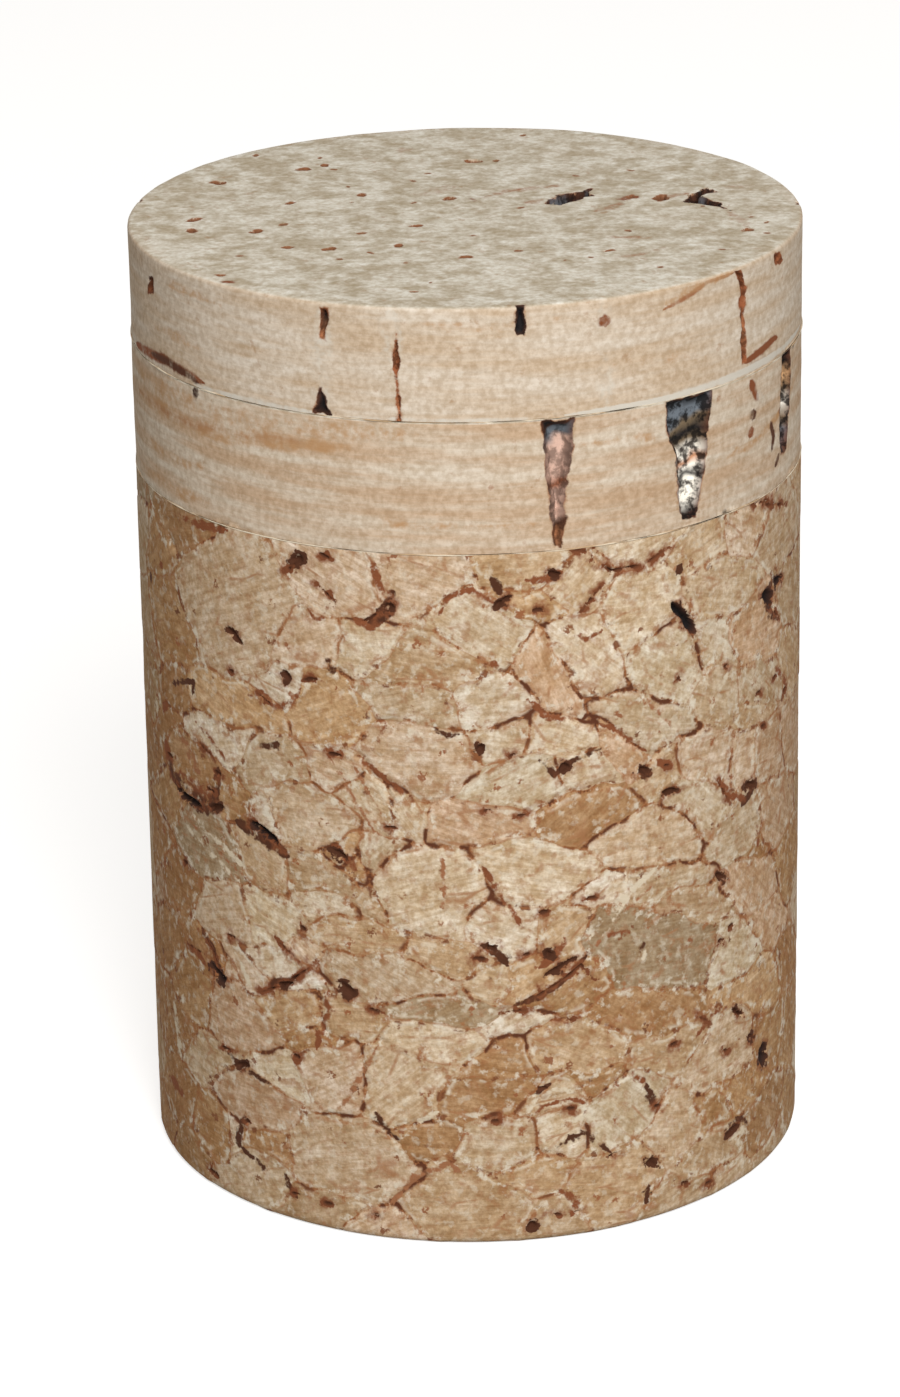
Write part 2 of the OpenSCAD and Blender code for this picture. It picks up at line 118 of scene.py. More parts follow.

# Granules on the front of the body, small ones last: angle, height, length, width, tint and any
# tilt of each one. The darker browns on the flanks are partly painted shade.
FRONT_GRANULES = [
    (-77, 31, 4.4, 3, BEIGE, 15), (-69, 31.2, 4.4, 2.6, RUSSET, 15), (-60, 32.7, 3.6, 1.6, BROWN, 15),
    (-44, 30, 7, 5.4, DUSK), (-21, 32.3, 4.4, 2.8, BLUSH), (-9.5, 32.6, 5, 2.6, BLUSH),
    (9, 32.9, 3.4, 1.6, TAN), (18, 31.8, 3.2, 2.6, BEIGE, 30), (28, 33.7, 4.6, 2.4, PALE),
    (43, 32.8, 3.2, 1.8, BEIGE), (54, 32.7, 3.8, 2, BLUSH), (67, 31.4, 5, 2.6, DUSK, -15),
    (2.5, 30.2, 5, 2.4, PALE, -35), (10, 31.2, 2.6, 1.4, ORANGE, -10), (29, 30.2, 4.8, 3.2, PALE, -20),
    (48, 30.2, 3.8, 2.8, BEIGE, -10), (-27.5, 29.3, 3.2, 1.8, BLUSH, 10),
    (-18, 29.3, 3.2, 1.8, PALE, -20), (-9, 28.5, 4.4, 2, TAN, 5), (12, 27.8, 4.4, 1.8, ROSE, -50),
    (20.5, 28.3, 4, 2.6, CREAM, -45), (36, 27.8, 4.8, 3.4, ASH, -15), (57, 27.6, 5, 2.8, ROSE, -12),
    (74, 28, 4.8, 3, TAN, -15), (-64.5, 27.8, 4.4, 3.2, RUSSET, 20), (-77, 26.4, 4.4, 2.6, TAN, 20),
    (-33.5, 26.8, 2, 1.4, CREAM), (-25.5, 26, 3.4, 2.8, ORANGE), (-10, 26.6, 3.6, 1.6, BEIGE),
    (2.8, 26.9, 2.8, 2, CREAM), (46.5, 25, 2.8, 2.4, BEIGE, -30), (-46.5, 25.1, 5, 1.9, ORANGE),
    (-8.5, 24, 4.6, 3.2, BLUSH), (4.8, 25, 2.4, 1.6, PALE), (14.3, 24.8, 3.2, 2, PALE),
    (29.5, 25.2, 5.6, 1.7, PALE, -35), (26, 23.8, 3.6, 1.5, ROSE, -40), (60, 24.6, 5, 2.4, BEIGE, -15),
    (74, 24.4, 4.4, 2.4, TAN, -15), (-47.5, 23.2, 4.2, 1.6, CREAM), (-62, 24.5, 3.4, 1.8, UMBER, 20),
    (-36, 22.9, 4.2, 1.8, BEIGE, 5), (-24, 23.2, 3, 1.6, BLUSH, -10), (7, 22.8, 4.4, 2, ASH, 10),
    (18.5, 23.2, 2.6, 1.4, PALE, -10), (33, 22.2, 2.4, 1.4, TAN), (43.5, 22.2, 5, 2, BLUSH, -20),
    (-1, 21, 4.6, 1.8, ROSE), (20.5, 20.8, 3.4, 2.4, BROWN, 20), (-57, 21.4, 4.6, 2.2, BROWN),
    (-17, 21.6, 3.4, 1.8, BEIGE, -45), (-68, 22.2, 4, 2, UMBER, 25), (62, 21.2, 4.4, 2, ROSE, -12),
    (77, 20.8, 4.4, 2.6, ROSE, -15), (-45.5, 20.9, 3, 1.8, RUSSET), (-30, 20.8, 4.6, 2.6, DUSK),
    (31, 19, 5, 2.2, DUSK, -15), (43, 19.8, 3.8, 2, PALE, -35), (-51, 17.8, 4.8, 2.2, MOSS, -5),
    (-66, 18.6, 4.6, 2.4, RUSSET, 20), (-76, 20.4, 4, 2.4, UMBER, 20), (-40, 17.9, 4, 2, TAN, -10),
    (-27.5, 17.6, 3.6, 2, TAN, -5), (-8.5, 17.6, 5.4, 4.4, PALE), (11, 18.2, 4.8, 2.8, PALE, -5),
    (52, 18, 4.4, 2.6, BEIGE, -20), (66, 17.6, 4.6, 2.6, ROSE, -20), (6, 15.6, 3, 2, CREAM, -20),
    (15, 15.4, 3, 2, TAN, 20), (33, 17, 5, 1.6, BEIGE, -12), (-38, 15.4, 4, 1.8, ASH, 10),
    (-48.5, 14.8, 4.6, 2.4, DUSK, 10), (-62, 14.8, 4.2, 2.2, UMBER, 15), (-75, 16, 4.4, 2.6, UMBER, 20),
    (-21, 15.2, 4.8, 1.3, TAN, 5), (-3, 14.4, 3.8, 1.5, TAN, -10), (31.5, 13.8, 6.8, 3.2, MOSS, -20),
    (57, 15, 4.2, 2, ROSE, -20), (75, 14.6, 4.6, 2.8, RUSSET, -20), (-34, 13.2, 3.4, 1.6, CREAM, -5),
    (-15, 13.2, 5, 1.9, DUSK, -5), (8, 13.3, 2.8, 1.6, ORANGE, 20), (-56, 12.4, 3.4, 1.5, UMBER, -15),
    (-44, 12, 2.8, 1.4, BLUSH, -10), (-5, 12, 4.6, 1.5, MOSS, 5), (16, 12.3, 3.6, 1.2, RUSSET, 20),
    (52, 12, 3.8, 2.2, ASH, -15), (64, 12.2, 4, 2.2, ROSE, -20), (-71, 11.6, 4.6, 2.8, UMBER, 20),
    (-33, 11, 3.4, 2, ORANGE, 15), (-21.5, 11, 3.6, 1.8, TAN, -15), (-8, 10.2, 4.8, 1.5, PALE, -5),
    (7.5, 11, 3, 1.3, CREAM, 10), (29, 10.8, 4.4, 2, BROWN, -15), (-59, 9.6, 3.8, 2.6, RUSSET, 15),
    (-45, 9.4, 4.8, 3.4, ROSE, 10), (16.5, 9.8, 4.4, 2.2, TAN, -5), (59, 9.6, 4.2, 2.2, ORANGE, -15),
    (74, 10, 4.6, 3, UMBER, -20), (-25.5, 8, 3.4, 3.4, BLUSH, 40), (-13.5, 8, 4.2, 3.6, BEIGE, 30),
    (4, 9.4, 3, 1.6, BROWN, 15), (35, 8.6, 3.8, 1.8, TAN, -15), (-35.5, 7.4, 2.8, 1.8, ASH),
    (0.5, 7.4, 3.4, 2, BROWN), (13, 7.2, 3.2, 1.2, BEIGE, 25), (46.5, 7.3, 4.8, 3, DUSK, -10),
    (-53.5, 6.8, 3.2, 1.7, BEIGE, 15), (-68, 7.4, 4.2, 3, UMBER, 25), (64, 6.6, 4.4, 2.6, RUSSET, -15),
    (76, 5.6, 4.4, 3, RUSSET, -15), (26, 6.2, 3.6, 3.2, ASH, -30), (14.5, 5.6, 3, 1.9, PALE, 20),
    (-42, 5.4, 4.6, 2.4, ROSE, 10), (-8.5, 5.4, 2.8, 1.7, BROWN, 15), (4, 5, 3.2, 2.2, BEIGE, -10),
    (54, 4.9, 3.4, 2, RUSSET, -10), (-22.5, 3.9, 6.6, 3.6, DUSK, -5), (36.5, 4.4, 4, 2.8, DUSK, -10),
    (-55, 3.2, 4, 2.8, RUSSET, 15), (-67, 3.4, 4.2, 2.4, UMBER, 20), (9.5, 3.4, 2.8, 1.6, TAN),
    (-3, 1.8, 5.6, 3.4, TAN), (22.5, 2.2, 4.4, 3.4, TAN), (46, 2.4, 4.2, 2.6, TAN, -5),
    (61, 2.6, 4.4, 2.8, BROWN, -10), (-43, 1.4, 4.2, 2.4, BEIGE, 10), (13, 1.4, 2.4, 1.8, TAN),
    (-29, 0.9, 4.6, 1.7, TAN), (-16.5, 0.6, 2.4, 1.2, BLUSH, 10), (37, 0.9, 3, 1.6, TAN),
    (75, 1.4, 4.4, 2.2, RUSSET, -10), (-76, 1.6, 4.4, 2.6, UMBER, 20), (-77, 7, 4, 3.2, UMBER, 20),
    (-30.5, 14.2, 1.8, 1.5, BLUSH, -20), (-26.5, 16.5, 2.8, 1.7, PALE), (-29, 9.5, 2.2, 1, RUSSET, 10),
    (-19, 17, 1.8, 1.4, TAN, -40), (-23, 19.3, 1.2, 1, ORANGE), (-21, 18.8, 1.2, 1, RUSSET),
    (-16.5, 19.4, 2.4, 1.2, PALE, 30), (-12, 21.2, 2.4, 1.6, BEIGE, -30),
    (-38, 20.6, 1.8, 1.2, CREAM, -10), (-48.5, 3.6, 1.4, 1, CREAM, 30), (-40, 3.6, 2.6, 1.4, BROWN),
    (-63, 1.6, 3.4, 2, RUSSET, 15), (2, 13.3, 2, 1.6, BEIGE), (23, 17, 2.6, 1.2, CREAM, 15),
    (42, 15.2, 3.6, 1.5, TAN, -15), (19, 8, 2, 1.2, RUSSET), (44.5, 4.4, 2.4, 1.4, RUSSET, -10),
    (49.5, 0.9, 2.2, 1.4, BEIGE), (68, 0.9, 3.6, 1.6, TAN, -10), (46, 27.7, 3, 1.8, PALE, -15),
    (57, 23.5, 3, 1.4, TAN, -10), (53, 21.6, 3, 1.6, BLUSH, -10), (59, 16.8, 1.4, 1, UMBER),
]

# Pits in the body: angle, height, length, width and any tilt of each one
PITS = [
    (38, 29.5, 2.2, 0.7, -50), (61.2, 28.7, 1.6, 0.8, -45), (66, 29.1, 1.4, 0.6),
    (-29.5, 32.9, 1, 0.7, 10), (-13.6, 31.2, 0.6, 0.7, -30), (-43.5, 28.6, 1.2, 0.5, -35),
    (5.2, 31.5, 0.9, 0.6, 30), (14, 32.6, 0.8, 0.5), (-32.4, 27.3, 0.6, 0.5), (1.2, 24.6, 0.5, 0.5),
    (15.3, 23.4, 0.7, 0.5, 15), (30, 22.6, 0.7, 0.6), (35, 21.3, 1.1, 0.4, -10),
    (-58, 19.5, 2.4, 0.6, -5), (-49.5, 19.8, 1.2, 0.6, 20), (-38, 19.4, 2.2, 0.5, -20),
    (-23, 19.1, 1, 0.8, -30), (55.5, 20, 1, 0.7), (47, 16.2, 0.8, 0.4, -30), (2.6, 14.9, 0.6, 0.6, 30),
    (12.5, 14.4, 0.8, 0.7, 30), (-34.4, 12.1, 1, 0.35, 15), (-22.5, 12.5, 1, 0.7),
    (-50.5, 11.4, 1.3, 0.8, -20), (14.2, 13.7, 1.8, 0.4, 25), (52, 8.9, 1.1, 0.4, -40),
    (-45, 7.2, 1, 0.6, 15), (56, 7.3, 0.7, 0.5, -20), (60.5, 5.8, 1.1, 1.2, 45), (50.5, 3, 1.1, 0.5, 15),
    (31.3, 2.9, 0.8, 0.7, -45), (9, 0.9, 0.5, 0.5), (98, 22.6, 1.2, 0.7, 20), (117, 12.4, 1.5, 0.6, -30),
    (140, 29, 1, 0.9), (163, 17, 1.8, 0.6, 15), (-172, 7, 1.1, 0.8), (-150, 26, 1.6, 0.7, -35),
    (-127, 14, 1.2, 0.8, 10), (-104, 27.6, 0.9, 0.9), (-98, 5, 1.4, 0.6, 30),
]

# Pinholes and small tears between granules, in the same terms
PINHOLES = [
    (-16.8, 30.6, 0.9, 0.3, 30), (11, 31, 0.5, 0.4), (-28, 27.3, 0.7, 0.3, 10), (-44.5, 26.8, 0.5, 0.4),
    (37, 26.6, 0.4, 0.4), (48.5, 26.4, 0.5, 0.4), (6.5, 24.2, 0.5, 0.3, 20), (-23.5, 23.9, 0.8, 0.3),
    (58, 24.3, 0.5, 0.4), (64.5, 24.5, 0.5, 0.3), (69.5, 23.4, 0.6, 0.4), (34.5, 22.6, 0.4, 0.4),
    (60, 22.5, 0.5, 0.3), (2.3, 21.6, 0.4, 0.3), (8, 21.3, 0.5, 0.3), (-49, 21.5, 0.5, 0.4),
    (-51, 20.5, 0.6, 0.4), (-65, 21, 0.6, 0.4), (-14, 20.7, 0.6, 0.3), (-60, 16.1, 0.6, 0.4),
    (11.5, 16.5, 0.5, 0.3), (20, 16.9, 0.5, 0.3), (0.5, 14.4, 0.5, 0.4), (8.5, 14.5, 0.5, 0.3),
    (-30.5, 15.1, 0.4, 0.3), (-17.5, 11.6, 0.6, 0.4), (-46.5, 13.6, 0.6, 0.3), (50, 13.5, 0.5, 0.3),
    (47, 13, 0.4, 0.3), (36, 8.7, 0.5, 0.3), (-49, 7.7, 0.6, 0.3), (-32.5, 8.6, 0.4, 0.3),
    (48.5, 7.3, 0.4, 0.3), (11, 7.8, 0.4, 0.3), (3, 6.3, 0.5, 0.3), (16, 6.6, 0.4, 0.3),
    (32.5, 5.8, 0.5, 0.3), (-44, 4.4, 0.5, 0.4), (23.5, 3.9, 0.6, 0.3, 20), (17, 1.3, 0.4, 0.3),
    (13.5, 1.3, 0.4, 0.3), (38.5, 1.4, 0.5, 0.4), (44, 0.9, 0.5, 0.4), (-33.5, 1.5, 0.5, 0.3),
    (-27, 1.4, 0.5, 0.4), (-18, 1.2, 0.5, 0.3), (-54, 0.8, 1, 0.45, -5), (-24.5, 33.3, 0.5, 0.3, -20),
]

# Open cracks between granules: width, then the angle and height of each bend in turn
CRACKS = [
    (0.25, 17, 33.6, 20.5, 33.5, 21, 33, 24, 32.4, 30, 32.4, 35, 33), (0.2, -29.5, 32.9, -32, 32.2),
    (0.16, -26, 31.9, -22.5, 31.1), (0.2, 18, 30.6, 22, 31.8), (0.3, -63, 20, -59, 19.5, -53, 19.3),
    (0.2, -43, 19.5, -40, 19.8, -37, 19.3, -34, 18.7), (0.16, 46, 21, 49, 19.8),
    (0.16, -36, 14.2, -31.5, 13.4), (0.2, -40, 11.3, -35, 12, -28, 13.5), (0.16, -60, 12, -54, 12),
    (0.2, -54, 13, -51.6, 12.4, -50, 11.6), (0.2, 9, 12.2, 15, 13.1, 17, 13.5, 18, 13.7, 20.5, 12.8),
    (0.16, 4, 11.7, 9, 11.8), (0.16, 13, 11.2, 17, 11), (0.16, 41, 9.7, 44, 9.2),
    (0.22, 50, 9.1, 54, 8.6), (0.16, 49.5, 3, 53, 3.3), (0.2, 61.5, 28.5, 66, 27.2),
    (0.16, -55, 22.7, -50, 22.2), (0.2, 55, 33.6, 62, 33.3), (0.2, 58, 33.4, 70, 32.4),
    (0.16, -38.5, 26.1, -35.5, 25.7), (0.16, -45, 28.9, -42.5, 28.4), (0.2, 104, 8.5, 110, 10, 113, 12),
    (0.2, 131, 22, 137, 23.4, 142, 23), (0.2, -165, 20, -158, 21.5), (0.2, -122, 24.4, -116, 23.4),
    (0.2, 176, 28, 183, 29.2),
]

# Seams that the binder left dark, as the angle and height of each bend in turn
DARK_SEAMS = [
    (6, 28, 8, 27, 11, 26.2, 17, 25.6), (11, 30, 13, 28.5, 16, 27, 19, 26.2, 27, 24.5, 31, 23),
    (20, 26.3, 25, 26.8, 31, 25.8, 40, 24), (10, 21.1, 15, 21.8, 22, 22.3), (35, 21, 39, 18.8, 42, 18.4),
    (37, 17.5, 47, 16.1, 53, 15), (-19, 23.7, -12, 22.2, -5, 22.1), (-17, 18.4, -8, 20.1, -5, 20.2),
    (2, 19, 6.5, 16.2), (-17, 9.8, -20.5, 8, -25.5, 5.7), (-18, 6.5, -15, 5.3, -10, 6.2),
    (-9, 4.2, -10.5, 3, -16, 1.5), (-1, 9.4, 8, 10.4, 12, 11.4), (23, 7.8, 31, 6.7, 32.5, 5.8),
    (11, 4.3, 17, 5.3, 20, 5), (-27, 12.5, -27.5, 10.3), (-5, 31, 0, 32.2), (-4.5, 30.8, -2, 29.9),
    (-17.5, 24, -16, 25, -14, 25.6), (-60, 32, -50, 33.3, -45, 33.7), (-25, 19, -21, 19),
    (35, 29, 42, 27),
]

# Fine lines in the granules: width, strength, colour, then the angle and height of each bend
BODY_STROKES = [
    (0.6, 0.95, RUST, -66.9, 21.6, -64.1, 20.2, -62, 19.9),
    (0.35, 1, DARK, -65.4, 20.8, -63.6, 20.1, -62, 19.8),
    (1, 0.9, RUST, -62, 20.3, -57, 20, -52, 19.8, -48, 20),
    (0.7, 1, DARK, -63.5, 20.2, -58, 19.6, -53, 19.5, -48.6, 19.8),
    (0.5, 0.95, DARK, -48.6, 21.8, -49.4, 20.8, -50.4, 19.5),
    (0.6, 0.8, CLAY, -61, 22.6, -57.4, 21.8, -54, 21),
    (0.5, 1, DARK, -44.6, 19.5, -39, 19.2, -32.6, 18.5),
    (0.25, 0.9, DARK, -63.5, 24.7, -59, 25.2, -55, 25.5, -55.6, 24.8),
    (0.5, 0.9, RUST, -67.4, 23, -65.4, 23.6), (0.7, 0.8, STRAW, -72, 23.2, -71.2, 22.6),
    (0.3, 0.6, STRAW, -58, 18.9, -50, 18.2, -42, 17.3),
    (0.2, 0.6, CLAY, -59, 18.5, -51, 17.8, -43, 16.9),
    (0.3, 0.6, STRAW, -60, 18.2, -52, 17.4, -44, 16.5),
    (0.5, 0.95, DARK, -14.8, 30.5, -13.4, 31.2, -12.6, 32),
    (0.3, 0.9, RUST, -19.6, 30.5, -17, 30.2, -14.6, 30.4),
    (0.4, 0.9, DARK, 63.6, 29.5, 60.6, 28.8, 62, 27.8, 66.4, 27.2),
    (0.35, 0.9, RUST, 64, 25, 67, 24.4, 70, 23.6), (0.6, 0.9, DARK, 29.4, 22.3, 31, 22.6),
    (0.4, 0.9, RUST, 32.4, 22.9, 35.5, 22.5), (0.35, 0.9, DARK, 33, 21.3, 37.5, 21.2),
    (0.35, 0.95, DARK, 52.4, 19.2, 55, 19.5, 57.4, 20.2),
    (0.4, 0.9, RUST, -24.6, 19.6, -22, 19, -20, 18.4),
    (0.35, 0.8, RUST, -60, 33.2, -52, 33.3, -44, 33.5), (0.3, 0.9, DARK, 1.4, 15, 4, 14.6, 5.4, 14),
    (0.35, 0.9, RUST, 10.6, 13.8, 13, 14.2, 15.4, 15.2),
    (0.25, 0.9, CLAY, -24.3, 6.3, -20.6, 8, -16.7, 10),
    (0.2, 0.7, CLAY, -24.2, 23.7, -20.4, 22, -16.8, 20.4),
    (0.2, 0.7, STRAW, -22.6, 23.8, -18.8, 22, -15.4, 20.6),
    (0.2, 0.7, CLAY, -20.6, 23.7, -17, 22, -13.8, 20.7),
    (0.2, 0.6, STRAW, -18.6, 23.6, -15, 22.2, -12, 21),
    (0.18, 0.8, CLAY, -5.3, 19.6, -5.1, 18, -5.3, 16.6),
    (0.25, 0.8, RUST, 1.1, 19, 4.6, 17.4, 8.4, 15.6),
    (0.25, 0.8, STRAW, 19, 14.8, 24.4, 16.4, 30.6, 17.6), (0.2, 0.7, CLAY, 20, 14.4, 26, 16, 32, 17),
    (0.25, 0.8, STRAW, 22, 15, 27, 16.8, 32.6, 17.8),
    (0.25, 0.9, DARK, 6, 12, 11, 12.4, 15.6, 13.2, 19.2, 14.2),
    (0.25, 0.8, CLAY, -16.6, 1.4, -11, 3.4, -5, 4.2, -2, 3.4),
    (0.25, 0.9, RUST, 40.4, 8.6, 46, 9.6, 50.4, 9.4, 54.2, 8.4),
    (0.3, 0.8, STRAW, 44, 9.1, 49, 9.2, 52, 8.6), (0.25, 1, DARK, 47.6, 3.2, 51.6, 3.5, 55.4, 2.9),
    (0.35, 0.9, STRAW, 49, 2.6, 52.6, 2.8, 56, 2.3), (0.3, 0.9, RUST, 46.4, 21, 49.6, 20, 54.2, 19.4),
    (0.2, 0.7, CLAY, 27.6, 26.6, 33.4, 25, 38.6, 23.4),
    (0.2, 0.6, STRAW, 44.2, 24.5, 47.4, 25.6, 51, 26.8),
    (0.25, 0.7, RUST, -46, 3.4, -44.6, 4.6, -43, 4.4),
    (0.25, 0.7, STRAW, -54, 23.2, -49, 22.6, -45.4, 21.8),
    (0.2, 0.8, RUST, -55, 23.6, -50, 23, -46, 22.2),
    (0.2, 0.7, RUST, -28, 30.8, -26.6, 30.2, -25, 30.4, -23.6, 31.4, -24.6, 33.4),
    (0.3, 0.9, DARK, -15.6, 30.9, -14.2, 31.2),
    (0.2, 0.8, RUST, -5.2, 30.8, -3.6, 31.8, 0.4, 32.1, 4, 31.4),
    (0.25, 0.75, STRAW, 7.7, 6.4, 10.1, 7.2, 13.6, 7.7, 16.6, 7.4), (0.2, 0.95, DARK, 9.6, 7.5, 12.6, 8),
    (0.2, 0.9, RUST, 8.4, 6.1, 11, 6.9, 16.1, 7.1, 19.1, 6.7),
    (0.3, 0.75, STRAW, 10.9, 4.6, 11.6, 5.4, 14.3, 6, 18.5, 6.1, 22.2, 5.6, 25.4, 4.4),
    (0.2, 0.95, DARK, 12.5, 4.5, 15.5, 5.1, 18.5, 5.3, 20.9, 4.6, 23.4, 4),
    (0.3, 0.95, DARK, -55.3, 13.3, -51.8, 12.6, -49.6, 11.6),
    (0.3, 0.9, RUST, -61.7, 11.9, -56, 11.8, -53.5, 11.4), (0.25, 0.8, STRAW, -45.8, 13, -41.9, 11.4),
    (0.2, 0.8, CLAY, -48, 13, -44, 11.4),
    (0.4, 0.95, RUST, -39.6, 11.3, -36.4, 12, -32.8, 12.4, -27.9, 13.6),
    (0.25, 1, DARK, -38, 11.7, -36.4, 12.1, -32.8, 12.4, -30, 13),
    (0.28, 0.95, RUST, -26.4, 12.7, -25.8, 11.2, -27.7, 9.9, -28.3, 9.2),
    (0.25, 0.95, DARK, -17.8, 6.6, -15.6, 5.6, -13.2, 5.2),
    (0.25, 0.8, STRAW, -13.2, 5.3, -10, 6.2, -6.7, 6.8),
    (0.3, 0.95, DARK, -35.9, 2.5, -34.6, 1.8, -33.1, 1.3),
    (0.25, 0.95, DARK, -49.9, 7.8, -45, 7.1, -38.2, 6.8),
    (0.5, 0.9, RUST, -72.3, 3.8, -68, 3.9, -64.2, 3.8),
    (0.5, 0.8, STRAW, -67.4, 8.3, -66, 7, -64.5, 5.6),
    (0.35, 0.95, DARK, -44.6, 4.6, -46.1, 3.6, -46.5, 2.9),
    (0.25, 0.9, DARK, -46, 3, -43, 2.6, -39.9, 2.3), (0.35, 0.9, RUST, -33.4, 8.4, -31.6, 8.4),
    (0.5, 0.9, STRAW, 29.2, 13.7, 30.4, 13.6), (0.3, 1, DARK, 28.8, 14.1, 30.2, 14),
    (0.2, 0.9, RUST, 22.4, 14.9, 25, 15, 27.5, 14.8), (0.25, 0.9, RUST, 24.9, 8, 27.6, 7.8, 30.1, 7.1),
    (0.35, 0.95, DARK, 30.1, 7.1, 31.9, 5.8), (0.25, 0.95, DARK, 30.6, 2.1, 30, 0.9),
    (0.35, 0.9, RUST, 13.4, 2.6, 17.1, 1.8, 15.9, 1.1),
    (0.3, 0.9, RUST, -16.3, 33.4, -15.2, 32.3, -13.2, 31.5),
    (0.4, 1, DARK, -12.9, 31.3, -14.4, 30.8, -17, 30.4), (0.35, 0.9, DARK, -24.8, 28.4, -23.2, 27.8),
    (0.3, 0.9, RUST, -40.4, 25.9, -37.5, 26.2, -34.6, 25.6, -30.5, 26.2, -29.7, 26.8),
    (0.3, 0.9, RUST, -25.5, 23.9, -24.9, 24.2, -22.3, 24, -22.2, 23.7),
    (0.25, 0.85, RUST, -16.2, 26.1, -14.5, 25.5, -15.8, 24.8, -18.8, 23.8),
    (0.25, 0.85, RUST, -18.8, 23.8, -14.7, 23, -11.4, 22.3),
    (0.25, 0.95, DARK, -38.9, 23.8, -37.8, 23.6, -34.8, 23.8, -34.2, 24.1),
    (0.2, 0.9, DARK, -6.6, 25.6, -4.4, 25.2, -2, 25.3), (0.5, 0.9, DARK, -72.4, 29.2, -71, 29.1),
    (0.4, 0.9, RUST, -66.4, 30.4, -65, 30.2), (0.3, 0.95, RUST, 9.1, 32.4, 12.3, 32.4, 15.2, 32.7),
    (0.3, 0.95, DARK, 3.4, 32.7, 5, 31.8), (0.2, 0.85, RUST, 16.8, 29.7, 19.2, 29.4, 22.2, 29.7),
    (0.3, 0.9, RUST, 3.1, 28.8, 5.3, 28.2), (0.28, 0.9, RUST, 9.2, 26.8, 12.6, 25.9, 17.2, 25.6),
    (0.22, 0.9, RUST, 21.4, 25.3, 25.2, 24.8, 30.3, 23.5),
    (0.22, 0.95, DARK, 10.8, 24, 13.6, 23.1, 16.6, 23.7, 22.1, 24.1),
    (0.4, 0.9, RUST, 58.2, 17.9, 58.3, 16.7), (0.2, 0.7, STRAW, 48.6, 26.2, 45.6, 25.1, 42.8, 24),
    (0.35, 0.95, DARK, 37.4, 32, 36.5, 31.6),
]

# Lenticels up the side of the inner disc, as rows of height, left angle, right angle and colour
INNER_DISC_LENTICELS = [
    ((39.7, 12, 17.4, NIGHT), (39.45, 12, 17.4, PITCH), (39.3, 12, 17.4, SLATE),
     (38.9, 12.2, 17.2, SLATE), (38.6, 12.4, 17, FLESH), (37, 12.8, 16.4, FLESH),
     (36.7, 12.9, 16.2, RUST), (36.4, 13, 16.1, FLESH), (35.2, 13.3, 15.7, FLESH),
     (34.9, 13.4, 15.4, DARK), (34.5, 13.7, 15.1, CLAY), (33.9, 14, 14.8, CLAY)),
    ((39.8, 34.2, 44, NIGHT), (39.5, 34.3, 44, NIGHT), (39.2, 34.4, 44, SLATE),
     (38.7, 34.6, 43.9, SLATE), (38.4, 34.8, 43.8, SHADE), (38, 35.2, 43.7, NIGHT),
     (37.6, 35.8, 43.4, SHADE), (36.9, 36.4, 43, CHALK), (36.6, 36.5, 42.8, CLAY),
     (36.3, 36.6, 42.6, CHALK), (35.9, 36.8, 42.3, NIGHT), (35.6, 37, 41.9, CHALK),
     (34.9, 37.2, 41.4, CHALK), (34.4, 37.6, 40.9, NIGHT), (34.1, 37.8, 40.6, PITCH)),
    ((39.8, 66.5, 71.5, PITCH), (39.1, 66.6, 72, NIGHT), (38.5, 66.4, 72, BAND),
     (37.6, 66.2, 71.5, SHADE), (36.9, 66, 71, CHALK), (36.4, 65.9, 70.6, SHADE),
     (36, 65.8, 70.2, SLATE), (35.1, 66.6, 69.6, DARK)),
    ((39.4, 102.4, 105.6, DARK), (37.1, 101.6, 106.4, CLAY), (34.8, 103, 105, DARK)),
    ((39.5, 142.8, 149.2, PITCH), (36.8, 143.8, 148.2, CLAY), (34.3, 144.6, 147.4, DARK)),
    ((38.6, -159.2, -156.8, DARK), (36.8, -159.8, -156.2, RUST), (35, -158.8, -157.2, DARK)),
    ((39.6, -121.2, -116.8, PITCH), (36.9, -120.6, -117.4, CLAY), (34.2, -120.6, -117.4, DARK)),
]

# Growth lines and stains on that side, in the terms of the body's fine lines
INNER_DISC_STROKES = [
    (0.6, 0.7, BAND, -76, 37.9, -56, 38, -45, 37.9, -36, 38.2, -20, 38.4),
    (0.3, 0.35, CLAY, -78, 38, -60, 37.9, -50, 38.1, -40, 38.3, -28, 38.5),
    (0.9, 0.5, BAND, -76, 38.8, -58, 39, -45, 38.8, -20, 39.2, -8, 39.3),
    (0.5, 0.5, BAND, -70, 36, -60, 35.8, -50, 36.2), (0.5, 0.5, BAND, -72, 34.4, -60, 34.4, -48, 34.6),
    (0.3, 0.5, BAND, -16, 35.2, 0, 35, 12, 35.1), (0.3, 0.5, BAND, 18, 38.4, 26, 38.5, 34, 38.2),
    (0.3, 0.6, BAND, 45, 36.4, 56, 36.5, 64, 37, 76, 38),
    (0.3, 0.5, BAND, 80, 38, 120, 37.6, 160, 38.3, 179, 38),
    (0.4, 0.5, BAND, 90, 35.4, 130, 35.8, 170, 35.2), (0.3, 0.5, BAND, -179, 36.6, -140, 37, -90, 36.2),
    (0.4, 1, PITCH, -52.2, 39.6, -50.6, 39.5), (0.35, 1, RUST, 54.6, 39.5, 55.6, 39.1, 57.3, 38.4),
    (0.5, 1, DARK, 55.8, 38.05, 55.4, 37.6), (0.35, 1, RUST, 55.4, 37.3, 54.6, 36.8),
    (0.25, 0.8, DARK, 66, 35.2, 63.8, 34.7), (0.3, 0.8, DARK, 62, 37, 63.2, 36.2, 62.4, 35.6),
    (0.4, 0.6, CHALK, 57, 38.8, 59, 38.2), (0.25, 0.6, CLAY, 3.2, 36.9, 4, 36.8),
    (0.25, 0.6, CLAY, 45.5, 39.3, 46.6, 39.2),
]

